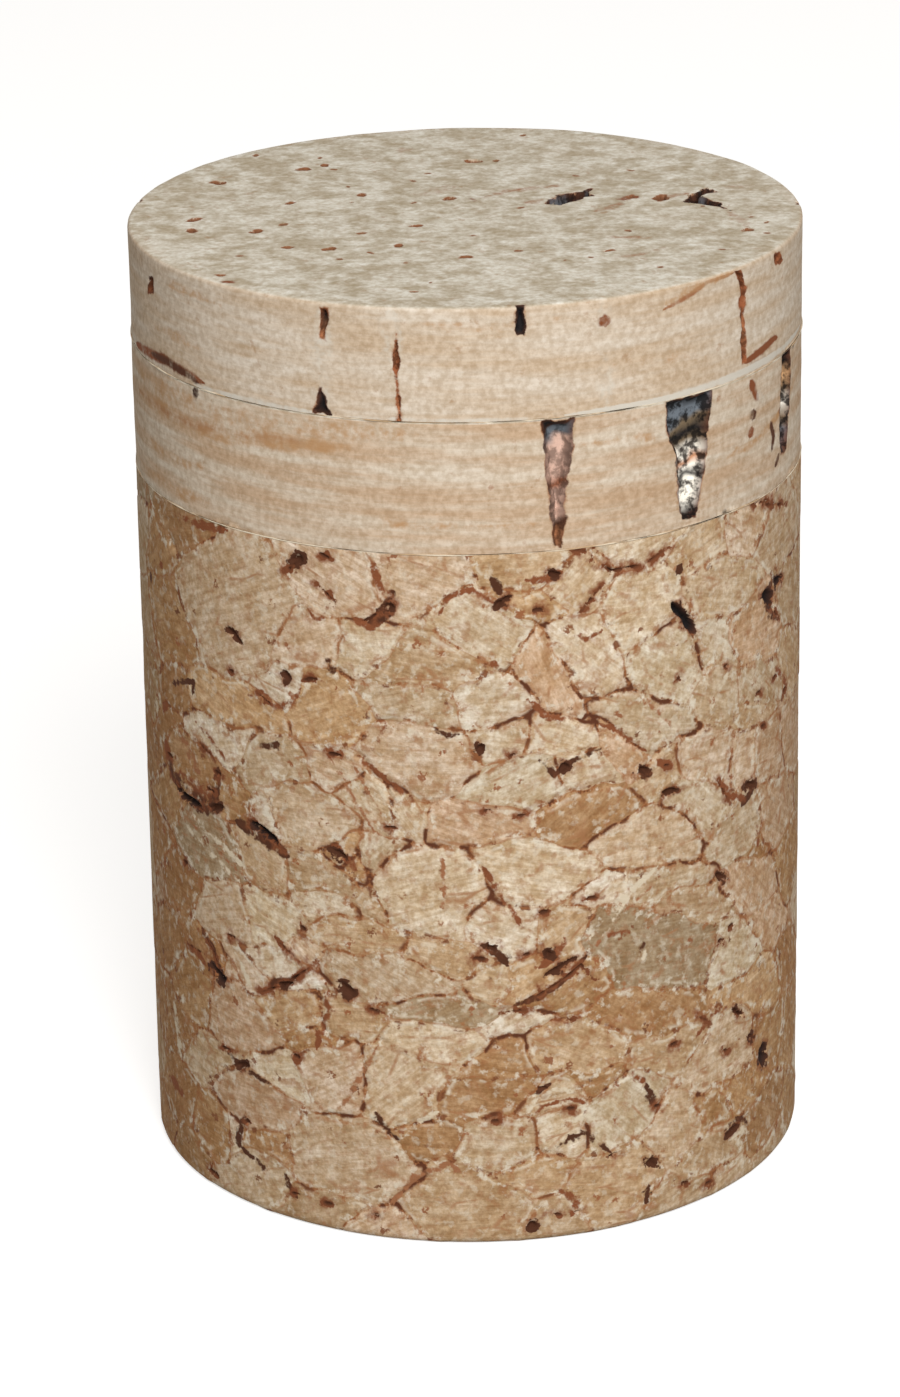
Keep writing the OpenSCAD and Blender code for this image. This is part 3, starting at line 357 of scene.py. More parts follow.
# Lenticels up the side of the outer disc, as rows of height, left angle, right angle and colour
OUTER_DISC_LENTICELS = [
    ((45.2, 8, 9.4, NIGHT), (43.7, 8.1, 9.2, NIGHT)),
    ((44.7, -24.2, -22.9, RUST), (44.2, -24.2, -22.8, NIGHT), (43.3, -24.6, -23.6, CLAY)),
    ((41.1, -24.8, -24.1, NIGHT), (39.9, -25.9, -22.9, NIGHT)),
    ((43.8, -11.6, -11.2, CLAY), (42, -11.8, -11.1, RUST), (39.8, -11.3, -10.8, CLAY)),
    ((44.8, 50.6, 51.8, RUST), (43.9, 52.1, 53.3, RUST), (43.2, 51.6, 53, RUST), (42, 52.1, 53, CLAY),
     (40.5, 52.3, 53.4, RUST)),
    ((44.7, 63, 65.4, RUST), (44.2, 63.6, 67, RUST)),
    ((43.9, -67, -65, PITCH), (43.2, -67.4, -65.2, RUST)),
    ((45.2, 92, 94, DARK), (41.6, 92.4, 93.8, RUST)),
    ((43.4, 127, 129, DARK), (40.8, 127.2, 128.8, CLAY)),
    ((45.2, 170, 172, PITCH), (42.6, 170.2, 171.6, CLAY), (40.4, 170, 172, DARK)),
    ((44.4, -136.6, -135.2, DARK), (42, -137, -135, CLAY), (40.6, -137, -135, DARK)),
    ((45.2, -102, -100.2, PITCH), (43.2, -101.4, -100.6, RUST)),
]

# Glue, growth lines and stains on that side, in the terms of the body's fine lines. The pale lines along
# the joint are partly glue and partly a painted highlight on its edge.
OUTER_DISC_STROKES = [
    (0.4, 1, RUST, -77, 40, -69.6, 40.2, -60.7, 40.4, -54, 40.3, -49, 40.1),
    (0.3, 1, DARK, -67, 40.3, -60, 40.4, -54, 40.25, -50.5, 40),
    # Pale lines along the joint with the inner disc: partly glue, partly a painted highlight
    (0.22, 0.8, CHALK, -52, 39.88, -38, 39.9, -24, 39.88),
    (0.2, 0.6, CHALK, -20, 39.88, -3, 39.86, 12, 39.88),
    (0.24, 1, CHALK, 16, 39.9, 34, 39.92, 50, 40.05, 63, 40.1, 80, 40.15),
    (0.2, 0.8, CLAY, 33.7, 44, 38, 44.3, 43.2, 44.75, 50, 44.8),
    (0.8, 0.4, CHALK, -24.6, 39.9, -24.2, 42.4, -23.6, 45), (0.9, 0.4, CHALK, -12.6, 44.9, -12.2, 42.6),
    (0.8, 0.3, CHALK, 22.6, 45, 23, 42.4, 23.4, 40), (0.45, 1, RUST, 22.8, 44.2, 23, 43.7),
    (0.28, 1, RUST, 52.8, 40.45, 57, 40.6, 63, 40.85, 64.5, 40.8),
    (0.3, 0.5, BAND, -60, 44.1, -50, 44.1, -44, 44), (0.3, 0.5, BAND, -66, 41.7, -56, 41.8, -50, 41.6),
    (0.3, 0.5, BAND, 34, 44.2, 38, 44.6, 50, 44.9), (0.3, 0.4, BAND, -8, 44.2, 4, 44.1, 16, 44.3),
    (0.3, 0.4, BAND, 24, 41.9, 34, 41.8, 44, 41.4), (0.3, 0.5, BAND, 84, 43, 120, 43.4, 160, 42.8),
    (0.3, 0.5, BAND, -170, 43.8, -130, 43.2, -90, 43.6),
]

# Stains on the wine end, with each bend's place right of the axis and behind it
WINE_END_STROKES = [
    (0.45, 0.65, CLAY, 0.9, 2.4, 1.9, 3.5, 3.1, 3.9, 4.6, 4.4), (0.9, 0.35, CLAY, -2.2, 3, -0.3, 4.6),
    (0.5, 0.7, RUST, 0.2, 2, 0.5, 2.1), (0.5, 0.65, CLAY, 2.8, 1.3, 3.6, 1.9),
    (0.4, 0.5, CLAY, 5.8, -0.3, 6.6, 0.3, 7.3, 1.3), (0.45, 0.8, RUST, 7.1, 1.6, 7.7, 2.2, 8.1, 2),
    (0.4, 0.55, CLAY, 9.3, 1.9, 9.9, 2.5, 10.4, 2.7), (0.4, 0.55, CLAY, 12, -0.6, 12.6, -2, 12.9, -3.4),
    (0.3, 0.6, CLAY, 6.4, -4.5, 8.4, -4.8), (0.9, 0.4, CLAY, 12.5, 3.3, 12.9, 4.2),
    (0.35, 0.5, CLAY, 6.6, -7.9, 7.9, -7.4, 9.1, -6.3), (0.6, 0.5, CLAY, -2.9, 10.8, -2.8, 11.6),
    (0.5, 0.9, RUST, -10.6, -10.7, -10.3, -10.9),
]

# Gashes torn in the wine end, as corners in the same terms
WINE_END_GASHES = [
    (3.6, 1.2, 4.5, 0.9, 5.3, 1.7, 6.2, 2.4, 5.9, 3.7, 4.9, 2.9, 4.1, 2.8),
    (9.8, 0.9, 10.6, 0.8, 11.6, 0.1, 12.2, -0.5, 11.8, 0.9, 10.9, 2, 11.8, 2.9, 11.2, 3.7, 10.4, 2.4),
]

# Pores in the wine end: place right of the axis and behind it, and size of each one
WINE_END_PORES = [
    (9.1, 1.9, 0.75), (7.7, 2.2, 0.4), (-11.5, 5.8, 0.6), (-7.6, 8, 0.5), (-6.6, 8.6, 0.4),
    (0.4, 9, 0.7), (-4.8, 3.2, 0.4), (-0.7, 2.3, 0.55), (-8, 2, 0.4), (-12.4, -0.6, 0.5),
    (-12.4, -2.5, 0.4), (-9.5, -2.8, 0.5), (-2.2, -2.2, 0.4), (-3, -5.5, 0.4), (-6.1, -5.8, 0.5),
    (-8, -5.5, 0.4), (0, -7.5, 0.4), (6.4, -6.8, 0.4), (12.8, -3.7, 0.4), (-10.8, -9.8, 0.4),
]

# What the sine scatter multiplies its numbers and its sine by
FIRST_TURN, SECOND_TURN, STRETCH = 12.9898, 78.233, 43758.5453

# Large numbers that stir the places of the noise until they look random
STIR_PLACE = np.array((73856093, 19349663, 83492791))
STIR_SEED, STIR_ONCE, STIR_AGAIN = 40503, 1274126177, 2246822519

# Turns the noise off the axes, so that its lattice does not show
TURN = np.array([(0.8, -0.36, 0.48), (0.6, 0.48, -0.64), (0, 0.8, 0.6)])


def scatter(number: float) -> float:
    """Gives a value from 0 to 1 that looks random but is always the same for a number."""
    value = math.sin(math.radians(number * FIRST_TURN)) * STRETCH
    return value - math.floor(value)


def between(low: float, high: float, number: float) -> float:
    """Gives a value between low and high that is always the same for a number."""
    return low + (high - low) * scatter(number)


def scattered_tint(number: float) -> Tint:
    """Picks the tint of a granule that has no tint of its own."""
    return COMMON_TINTS[int(scatter(number) * len(COMMON_TINTS))]


def linear(colour: Triple) -> Array:
    """Turns an sRGB colour of values from 0 to 255 into a linear one."""
    value = np.asarray(colour, float) / 255
    return np.where(value <= 0.04045, value / 12.92, ((value + 0.055) / 1.055) ** 2.4)


def rgba(colour: Triple) -> tuple[float, float, float, float]:
    """Gives the socket value of an sRGB colour."""
    return (*linear(colour), 1.0)


def ease(value: Array, start: float, end: float) -> Array:
    """Runs smoothly from 0 at start to 1 at end."""
    share = np.clip((value - start) / (end - start), 0, 1)
    return share * share * (3 - 2 * share)


def blend(first: Array, second: Array, share: Array) -> Array:
    """Mixes two colours, by a share for each point."""
    return first * (1 - share[:, None]) + second * share[:, None]


def ripple(points: Array, size: float, seed: int) -> Array:
    """Smooth noise in space.

    Args:
        points: places in millimetres, three values each.
        size: the distance from one swing of the noise to the next.
        seed: picks one noise out of many.

    Returns:
        A value from -1 to 1 for each place.
    """
    cell = points @ TURN / size
    base = np.floor(cell).astype(np.int64)
    part = cell - base
    share = part * part * (3 - 2 * part)
    total = np.zeros(len(points))
    for corner in itertools.product((0, 1), repeat=3):
        x, y, z = ((base + np.array(corner)) * STIR_PLACE).T
        mixed = (x ^ y ^ z ^ (seed * STIR_SEED)) * STIR_ONCE
        mixed = (mixed ^ (mixed >> 15)) * STIR_AGAIN
        value = ((mixed ^ (mixed >> 13)) & 0xFFFF) / 0x7FFF - 1
        total += np.prod(np.where(np.array(corner) == 1, share, 1 - share), axis=1) * value
    return total


def arc(angle: float) -> float:
    """Gives how far round the side an angle in degrees from the front lies, in millimetres."""
    return math.radians(angle) * CORK_R


def wrapped(way: Array) -> Array:
    """Turns ways on the unrolled side into the shorter ways round."""
    return way - np.array((ROUND_TRIP, 0)) * np.round(way / ROUND_TRIP)


def side_path(bends: list[float]) -> Array:
    """Lays bends, given as angle and height in turn, on the unrolled side."""
    return np.array([(arc(angle), height) for angle, height in zip(bends[::2], bends[1::2])])


def in_space(way: Array, shift: Triple) -> Array:
    """Gives ways on a face as places in space moved by a shift, for the noise to read."""
    return np.append(way, np.zeros((len(way), 1)), axis=1) + np.array(shift)


def near_path(chart: Array, path: Array, reach: float) -> Array:
    """Gives the numbers of the points that lie within reach of the box round a path."""
    inside = (chart > path.min(axis=0) - reach) & (chart < path.max(axis=0) + reach)
    return np.nonzero(inside.all(axis=1))[0]


def path_distance(way: Array, path: Array) -> tuple[Array, Array]:
    """Measures points against a path.

    Args:
        way: places to measure.
        path: the path's bends, in the same terms.

    Returns:
        The distance to the path, and how far along it the nearest place is, from 0 to 1.
    """
    nearest, place = np.full(len(way), BEYOND), np.zeros(len(way))
    lengths = np.linalg.norm(np.diff(path, axis=0), axis=1)
    starts = np.append(0, np.cumsum(lengths))
    for number, length in enumerate(lengths):
        step = (path[number + 1] - path[number]) / length
        share = np.clip((way - path[number]) @ step, 0, length)
        far = np.linalg.norm(way - path[number] - share[:, None] * step, axis=1)
        closer = far < nearest
        nearest[closer] = far[closer]
        place[closer] = (starts[number] + share[closer]) / starts[-1]
    return nearest, place


@dataclass(frozen=True)
class Granule:
    """One granule as the ellipse that it was when pressed, on an unrolled face."""

    along: float
    height: float
    length: float
    width: float
    tint: Tint
    tilt: float = 0

    @classmethod
    def on_side(cls, angle: float, *rest: float | Tint) -> "Granule":
        """Makes a granule of the side from its angle and the fields after along."""
        return cls(arc(angle), *rest)

    def pull(self, way: Array) -> Array:
        """Gives the slope of the granule's size measure at each way from its centre.

        Args:
            way: the way from the centre to each point.

        Returns:
            The slope, along and up.
        """
        turn = math.radians(self.tilt)
        along = np.array([math.cos(turn), math.sin(turn)])
        across = np.array([-along[1], along[0]])
        return (np.outer(way @ along, along) * 4 / self.length**2
                + np.outer(way @ across, across) * 4 / self.width**2)

    def reach_towards(self, way: Array) -> Array:
        """Gives how far the granule's ellipse runs in the direction of each way."""
        return np.linalg.norm(way, axis=1) / np.sqrt((self.pull(way) * way).sum(1))


@dataclass
class Mosaic:
    """The cells that granules fill between their neighbours on a flat or unrolled face."""

    granules: list[Granule]
    goes_round: bool
    meeting_reach: float = 11
    widest_seam: float = 9

    def __post_init__(self) -> None:
        """Works out the centre and the straight seams of each granule."""
        self.centres = np.array([(g.along, g.height) for g in self.granules])
        self.seams = [self._seams(number) for number in range(len(self.granules))]

    def _way(self, points: Array, number: int) -> Array:
        """Gives the way from a granule's centre to each point."""
        way = points - self.centres[number]
        return wrapped(way) if self.goes_round else way

    def _seams(self, number: int) -> tuple[Array, Array]:
        """Works out the seams of a granule.

        Args:
            number: the granule's number.

        Returns:
            The outward normals of its seams, and their distances from its centre.
        """
        way = self._way(self.centres, number)
        far = np.linalg.norm(way, axis=1)
        granule = self.granules[number]
        normals, distances = [], []
        for other in np.nonzero((far > 0) & (far < self.meeting_reach))[0]:
            neighbour, step = self.granules[other], way[other][None]
            own = granule.reach_towards(step)
            meet = step * (own / (own + neighbour.reach_towards(step)))
            slope = granule.pull(meet) + neighbour.pull(step - meet)
            normals.append(slope[0] / np.linalg.norm(slope))
            distances.append(normals[-1] @ meet[0])
        return np.array(normals), np.array(distances)

    def cells(self, points: Array) -> tuple[Array, Array, Array]:
        """Finds the cell of each point.

        Args:
            points: places on the face, in millimetres.

        Returns:
            The number of the granule at each point, the number of the next nearest
            one, and the distance to the seam between them.
        """
        count = len(points)
        best, next_best = np.full(count, BEYOND), np.full(count, BEYOND)
        own, other = np.zeros(count, int), np.zeros(count, int)
        span = self.meeting_reach * 0.8
        for number, (normals, distances) in enumerate(self.seams):
            way = self._way(points, number)
            near = np.nonzero((np.abs(way) < span).all(axis=1))[0]
            if not len(near):
                continue
            outside = (way[near] @ normals.T - distances).max(axis=1)
            first = outside < best[near]
            second = ~first & (outside < next_best[near])
            held = near[first]
            next_best[held], other[held] = best[held], own[held]
            best[held], own[held] = outside[first], number
            held = near[second]
            next_best[held], other[held] = outside[second], number
        return own, other, np.clip((next_best - best) / 2, 0, self.widest_seam)


@dataclass
class Shell:
    """A closed turned surface as points and triangles, in millimetres."""

    points: Array
    faces: Array
    low: float
    high: float
    side_slack: float = 0.004
    end_slack: float = 0.01

    @classmethod
    def turned(cls, profile: list[Triple]) -> "Shell":
        """Turns a profile into a closed surface.

        Args:
            profile: radius, height and point spacing of each ring, from the middle of
                the lower face out, up the side and in to the middle of the upper face.

        Returns:
            The shell, with its faces pointing outwards.
        """
        points, faces, first, below = [], [], 0, None
        for number, (ring_r, height, spacing) in enumerate(profile):
            count = max(6, round(2 * math.pi * ring_r / spacing)) if ring_r > 0 else 1
            angles = (np.arange(count) + number % 2 / 2) * 2 * math.pi / count
            points.append(np.stack([ring_r * np.sin(angles), -ring_r * np.cos(angles),
                                    np.full(count, height)], axis=1))
            if below is not None:
                faces.append(cls._band(below, (first, angles)))
            below = (first, angles)
            first += count
        return cls(np.concatenate(points), np.concatenate(faces), profile[0][1], profile[-1][1])

    @staticmethod
    def _band(*rings: tuple[int, Array]) -> Array:
        """Joins two rings of any number of points with triangles.

        Args:
            rings: the number of the first point and the angle of each point, for the
                lower ring and then for the upper one.

        Returns:
            The triangles, as three point numbers each.
        """
        turn, made = 2 * math.pi, []
        for (first, own), (other_first, other), side, step in ((*rings, "left", 1),
                                                               (*rings[::-1], "right", -1)):
            if len(own) > 1:
                ends = np.append(own[1:], own[0] + turn)
                apex = np.searchsorted(np.append(other, other + turn), ends, side) - 1
                start = np.arange(len(own))
                made.append(np.stack([first + start, first + (start + 1) % len(own),
                                      other_first + apex % len(other)], axis=1)[:, ::step])
        return np.concatenate(made)

    def chart(self, points: Array) -> Array:
        """Unrolls points, with the ends carrying on from the side as if folded out flat.

        Args:
            points: places on the shell.

        Returns:
            How far round from the front, and how far up from the foot, each point is.
        """
        inset = CORK_R - np.hypot(points[:, 0], points[:, 1])
        upper = points[:, 2] > (self.low + self.high) / 2
        along = np.arctan2(points[:, 0], -points[:, 1]) * CORK_R
        return np.stack([along, points[:, 2] + np.where(upper, inset, -inset)], axis=1)

    def views(self, points: Array) -> tuple[tuple[Array, Array], tuple[Array, Array]]:
        """Gives places unrolled and then from above, each with which of them show there."""
        return ((self.chart(points), np.full(len(points), True)),
                (points[:, :2], points[:, 2] > self.high - self.end_slack))

    def middles(self) -> Array:
        """Gives the middle of each triangle."""
        return self.points[self.faces].mean(axis=1)

    def refine(self, wanted: Array) -> None:
        """Splits triangles in four, and their neighbours so that edges match.

        Args:
            wanted: whether each triangle is split.
        """
        corners = self.faces
        count = len(self.points)
        pairs = np.sort(np.stack([corners, np.roll(corners, -1, axis=1)], axis=2), axis=2)
        keys, place = np.unique(pairs[..., 0] * count + pairs[..., 1], return_inverse=True)
        place = place.reshape(corners.shape)
        marked = np.zeros(len(keys), bool)
        marked[place[wanted].ravel()] = True
        number = np.cumsum(marked) - 1 + count
        ends = self.points[np.stack([keys // count, keys % count], axis=1)[marked]]
        middle = ends.mean(axis=1)
        on_side = (np.hypot(ends[..., 0], ends[..., 1]) > CORK_R - self.side_slack).all(axis=1)
        middle[on_side, :2] *= (CORK_R / np.hypot(*middle[on_side, :2].T))[:, None]
        self.points = np.concatenate([self.points, middle])
        split = marked[place]
        made = [corners[~split.any(axis=1)]]

        def keep(*triangles: tuple[Array, Array, Array]) -> None:
            """Adds triangles to those that are made."""
            made.extend(np.stack(triangle, axis=1) for triangle in triangles)

        whole = split.all(axis=1)
        a, b, c = corners[whole].T
        ab, bc, ca = number[place[whole]].T
        keep((a, ab, ca), (ab, b, bc), (ca, bc, c), (ab, bc, ca))
        for turn in range(3):
            marks = np.roll(split, -turn, axis=1)
            one = marks[:, 0] & ~marks[:, 1] & ~marks[:, 2]
            two = marks[:, 0] & marks[:, 1] & ~marks[:, 2]
            a, b, c = np.roll(corners, -turn, axis=1)[one].T
            ab = number[np.roll(place, -turn, axis=1)[one][:, 0]]
            keep((a, ab, c), (ab, b, c))
            a, b, c = np.roll(corners, -turn, axis=1)[two].T
            ab, bc = number[np.roll(place, -turn, axis=1)[two][:, :2]].T
            keep((ab, b, bc), (a, ab, bc), (a, bc, c))
        self.faces = np.concatenate(made)

    def draw_to_seams(self, own: Array, distance: Array, free: Array) -> Array:
        """Moves the nearest points onto the seams, so that no triangle crosses one.

        Args:
            own: the granule at each point.
            distance: how far each point is from its nearest seam.
            free: whether each point may be moved.

        Returns:
            Whether each point now lies on a seam.
        """
        edges = np.concatenate([self.faces[:, [0, 1]], self.faces[:, [1, 2]],
                                self.faces[:, [2, 0]]])
        edges = edges[(edges[:, 0] < edges[:, 1]) & (own[edges[:, 0]] != own[edges[:, 1]])]
        share = distance[edges[:, 0]] / (distance[edges].sum(axis=1) + 1e-9)
        swap = share > 0.5
        mover = np.where(swap, edges[:, 1], edges[:, 0])
        anchor = np.where(swap, edges[:, 0], edges[:, 1])
        share = np.where(swap, 1 - share, share)
        move = (self.points[anchor] - self.points[mover]) * share[:, None]
        order = np.argsort(-np.linalg.norm(move, axis=1))
        order = order[free[mover[order]]]
        placed = np.zeros(len(self.points), bool)
        placed[mover[order]] = True
        self.points[mover[order]] += move[order]
        return placed


def turned_profile(low: float, high: float, edges: tuple[float, float], steps: Triple
                   ) -> list[Triple]:
    """Lists the rings of a cork cylinder with rounded edges.

    Args:
        low: the height of the lower face.
        high: the height of the upper face.
        edges: the rounding of the lower and of the upper edge.
        steps: the point spacing on the lower face, the side and the upper face.

    Returns:
        Radius, height and point spacing of each ring.
    """
    row = math.sin(math.radians(60))
    lower, upper = edges
    rings_low = max(3, round((CORK_R - lower) / (steps[0] * row)))
    rings_up = max(3, round((CORK_R - upper) / (steps[2] * row)))
    rows = max(2, round((high - low - lower - upper) / (steps[1] * row)))
    bends = [math.radians(angle) for angle in (22.5, 45, 67.5)]
    start, end = low + lower, high - upper
    profile = [((CORK_R - lower) * k / rings_low, low, steps[0]) for k in range(rings_low)]
    profile += [(CORK_R - lower, low, steps[1])]
    profile += [(CORK_R - lower * (1 - math.sin(bend)), low + lower * (1 - math.cos(bend)),
                 steps[1]) for bend in bends]
    profile += [(CORK_R, start + (end - start) * k / rows, steps[1]) for k in range(rows + 1)]
    profile += [(CORK_R - upper * (1 - math.cos(bend)), high - upper * (1 - math.sin(bend)),
                 steps[1]) for bend in bends]
    profile += [(CORK_R - upper, high, steps[1])]
    profile += [((CORK_R - upper) * (1 - k / rings_up), high, steps[2])
                for k in range(1, rings_up + 1)]
    return profile


@dataclass(frozen=True)
class Opening:
    """A place where the skin of the cork is open: its middle, depth and colours, that of its walls
    partly painted shade.
    """

    along: float
    height: float
    depth: float
    mark: Mark
    on_end: bool = False
    # The colour of the walls: partly their own brown, partly painted shade in the hollow
    rim: Mark = RUST
    slope: float = 0.16
    flecks: float = 0

    def reach(self) -> float:
        """Gives how far the opening runs from its middle."""
        raise NotImplementedError

    def gap(self, way: Array) -> Array:
        """Gives the distance from the opening's edge, less than 0 inside it."""
        raise NotImplementedError

    def colour(self, way: Array) -> Array:
        """Gives the colour inside the opening."""
        return np.tile(linear(self.mark.value), (len(way), 1))


@dataclass(frozen=True)
class Pit(Opening):
    """A rough oval hole."""

    length: float = 1
    width: float = 1
    tilt: float = 0

    def reach(self) -> float:
        """Gives how far the hole runs from its middle."""
        return max(self.length, self.width) / 2

    def gap(self, way: Array) -> Array:
        """Measures points against the hole's rough edge.

        Args:
            way: the way from the hole's middle to each point.

        Returns:
            The distance from the edge, less than 0 inside it.
        """
        turn = math.radians(self.tilt)
        along = way @ np.array([math.cos(turn), math.sin(turn)])
        across = way @ np.array([-math.sin(turn), math.cos(turn)])
        bearing = np.arctan2(across / self.width, along / self.length)
        start = 6.28 * scatter(self.along * 7 + self.height * 3)
        rough = 1 + 0.12 * np.sin(2 * bearing + start) + 0.06 * np.sin(3 * bearing + 2 * start)
        size = np.hypot(2 * along / self.length, 2 * across / self.width) / rough + 1e-6
        place = in_space(way, (self.along, self.height, 0))
        fray = 0.18 * ripple(place, 0.5, 7) + 0.12 * ripple(place, 0.22, 8)
        return np.hypot(along, across) * (1 - 1 / size) - 1e-3 + fray * min(1, self.width * 1.4)


@dataclass(frozen=True)
class Crack(Opening):
    """A crack along a path, which thins out at both ends."""

    width: float = 0
    path: Array | None = None

    @classmethod
    def traced(cls, path: Array, depth: float, mark: Mark, **settings: object) -> "Crack":
        """Makes an opening from a path.

        Args:
            path: the place of each bend on its face.
            depth: how deep the opening is.
            mark: the colour inside it.
            settings: its other fields.

        Returns:
            The opening, with its path measured from its middle.
        """
        middle = path.mean(axis=0)
        return cls(*middle, depth, mark, path=path - middle, **settings)

    def reach(self) -> float:
        """Gives how far the opening runs from its middle."""
        return np.linalg.norm(self.path, axis=1).max() + self.width

    def gap(self, way: Array) -> Array:
        """Measures points against the crack's lips.

        Args:
            way: the way from the crack's middle to each point.

        Returns:
            The distance from the lips, less than 0 between them.
        """
        far, place = path_distance(way, self.path)
        waver = 0.7 + 0.4 * np.sin(place * 23 + self.along) * np.sin(place * 9 + self.height)
        taper = np.sqrt(np.clip(1 - (2 * place - 1) ** 2, 0.04, 1))
        return far - self.width / 2 * waver * taper


@dataclass(frozen=True)
class Lenticel(Opening):
    """A natural channel up a disc's side, as rows from the bottom up."""

    heights: Array | None = None
    left: Array | None = None
    right: Array | None = None
    colours: Array | None = None

    @classmethod
    def from_rows(cls, rows: tuple, depth: float) -> "Lenticel":
        """Makes a lenticel.

        Args:
            rows: height, left angle, right angle and colour of each row, from the top.
            depth: how deep the lenticel is.

        Returns:
            The lenticel, with its rows measured from its middle.
        """
        along = arc(sum(row[1] + row[2] for row in rows) / len(rows) / 2)
        height = (rows[0][0] + rows[-1][0]) / 2
        heights, starts, ends, marks = zip(*sorted(rows, key=lambda row: row[0]))
        left, right = (np.array([arc(angle) for angle in side]) - along for side in (starts, ends))
        return cls(along, height, depth, marks[-1], slope=min(0.4, 0.35 * (right - left).max()),
                   rim=RUST if marks[-1] in (RUST, CLAY) else DARK,
                   flecks=1 if CHALK in marks else 0.5, left=left, right=right,
                   heights=np.array(heights) - height,
                   colours=np.array([linear(mark.value) for mark in marks]))

    def reach(self) -> float:
        """Gives how far the channel runs from its middle."""
        return np.hypot(self.heights, np.maximum(-self.left, self.right)).max()

    def gap(self, way: Array) -> Array:
        """Measures points against the channel's rough edge.

        Args:
            way: the way from the channel's middle to each point.

        Returns:
            The distance from the edge, less than 0 inside it.
        """
        place = in_space(way, (self.along, 0, 0))
        rough = 0.1 * ripple(place, 0.5, 3) + 0.05 * ripple(place, 0.2, 4)
        sides = np.maximum(np.interp(way[:, 1], self.heights, self.left) - way[:, 0],
                           way[:, 0] - np.interp(way[:, 1], self.heights, self.right))
        ends = np.maximum(self.heights[0] - way[:, 1], way[:, 1] - self.heights[-1])
        return np.maximum(sides, ends) + rough

    def colour(self, way: Array) -> Array:
        """Colours the inside of the channel in rough bands.

        Args:
            way: the way from the channel's middle to each point.

        Returns:
            The linear colour of each point.
        """
        level = way[:, 1] - 0.25 * way[:, 0] + 0.3 * ripple(in_space(way, (self.along, 0, 0)), 0.5, 5)
        return np.stack([np.interp(level, self.heights, row) for row in self.colours.T], axis=1)


@dataclass(frozen=True)
class Gash(Crack):
    """A torn opening on the wine end, inside its path."""

    def gap(self, way: Array) -> Array:
        """Measures points against the gash's ragged edge.

        Args:
            way: the way from the gash's middle to each point.

        Returns:
            The distance from the edge, less than 0 inside it.
        """
        ring = np.append(self.path, self.path[:1], axis=0)
        far, _ = path_distance(way, ring)
        inside = np.zeros(len(way), bool)
        for start, end in zip(ring[:-1], ring[1:]):
            crosses = (start[1] > way[:, 1]) != (end[1] > way[:, 1])
            rise = end[1] - start[1] or 1e-9
            cut = (end[0] - start[0]) * (way[:, 1] - start[1]) / rise + start[0]
            inside ^= crosses & (way[:, 0] < cut)
        place = in_space(way, (0, 0, self.along))
        return (np.where(inside, -far, far) + 0.2 * ripple(place, 0.6, 8)
                + 0.12 * ripple(place, 0.25, 9) + 0.12)

    def colour(self, way: Array) -> Array:
        """Gives the colour inside the gash: dark hollows among grey tatters."""
        grey = ease(ripple(in_space(way, (0, 0, self.along)), 0.7, 9), -0.1, 0.5)
        return blend(linear(PITCH.value), linear(SLATE.value), grey)


@dataclass(frozen=True)
class Stroke:
    """A stain along a path on the unrolled side or, where on_end is set, on the wine end. Some pale ones
    at the discs' joint are partly painted highlight.
    """

    width: float
    strength: float
    mark: Mark
    path: Array
    on_end: bool = False

    @classmethod
    def listed(cls, rows: list[tuple], on_end: bool = False) -> list["Stroke"]:
        """Makes strokes from rows of width, strength, colour and bends."""
        return [cls(*row[:3], np.reshape(row[3:], (-1, 2)) if on_end else side_path(row[3:]), on_end)
                for row in rows]


def opened_skin(shell: Shell, points: Array, openings: list[Opening]
                ) -> tuple[Array, Array, Array]:
    """Works out what the openings do at each point of a shell.

    Args:
        shell: the shell that is opened.
        points: places on it.
        openings: the pits, cracks, lenticels and gashes.

    Returns:
        The distance to the nearest edge of an opening, the depth, and the colour inside
        that opening with its share of flecks as a fourth value.
    """
    gap, depth = np.full(len(points), FAR), np.zeros(len(points))
    inside = np.zeros((len(points), 4))
    views = shell.views(points)
    for opening in openings:
        chart, shows = views[opening.on_end]
        way = chart - np.array([opening.along, opening.height])
        way = way if opening.on_end else wrapped(way)
        near = np.nonzero((np.abs(way) < opening.reach() + 1).all(axis=1) & shows)[0]
        if not len(near):
            continue
        edge = opening.gap(way[near])
        # The walls blend into the wall colour, which is partly painted shade
        colour = blend(opening.colour(way[near]), linear(opening.rim.value),
                       ease(edge, -opening.slope * 0.8, 0.04) * 0.8)
        closer = edge < gap[near]
        inside[near[closer], :3] = colour[closer]
        inside[near[closer], 3] = opening.flecks
        depth[near] = np.maximum(depth[near],
                                 opening.depth * (1 - ease(edge, -opening.slope, 0)))
        gap[near] = np.minimum(gap[near], edge)
    return gap, depth, inside


def stroke_gap(shell: Shell, points: Array, strokes: list[Stroke]) -> Array:
    """Measures points against strokes of the side.

    Args:
        shell: the shell that is marked.
        points: places on it.
        strokes: the strokes.

    Returns:
        How far each point lies outside the nearest stroke.
    """
    gap, chart = np.full(len(points), FAR), shell.chart(points)
    for stroke in strokes:
        near = near_path(chart, stroke.path, 1)
        far, _ = path_distance(chart[near], stroke.path)
        gap[near] = np.minimum(gap[near], far - stroke.width / 2)
    return gap


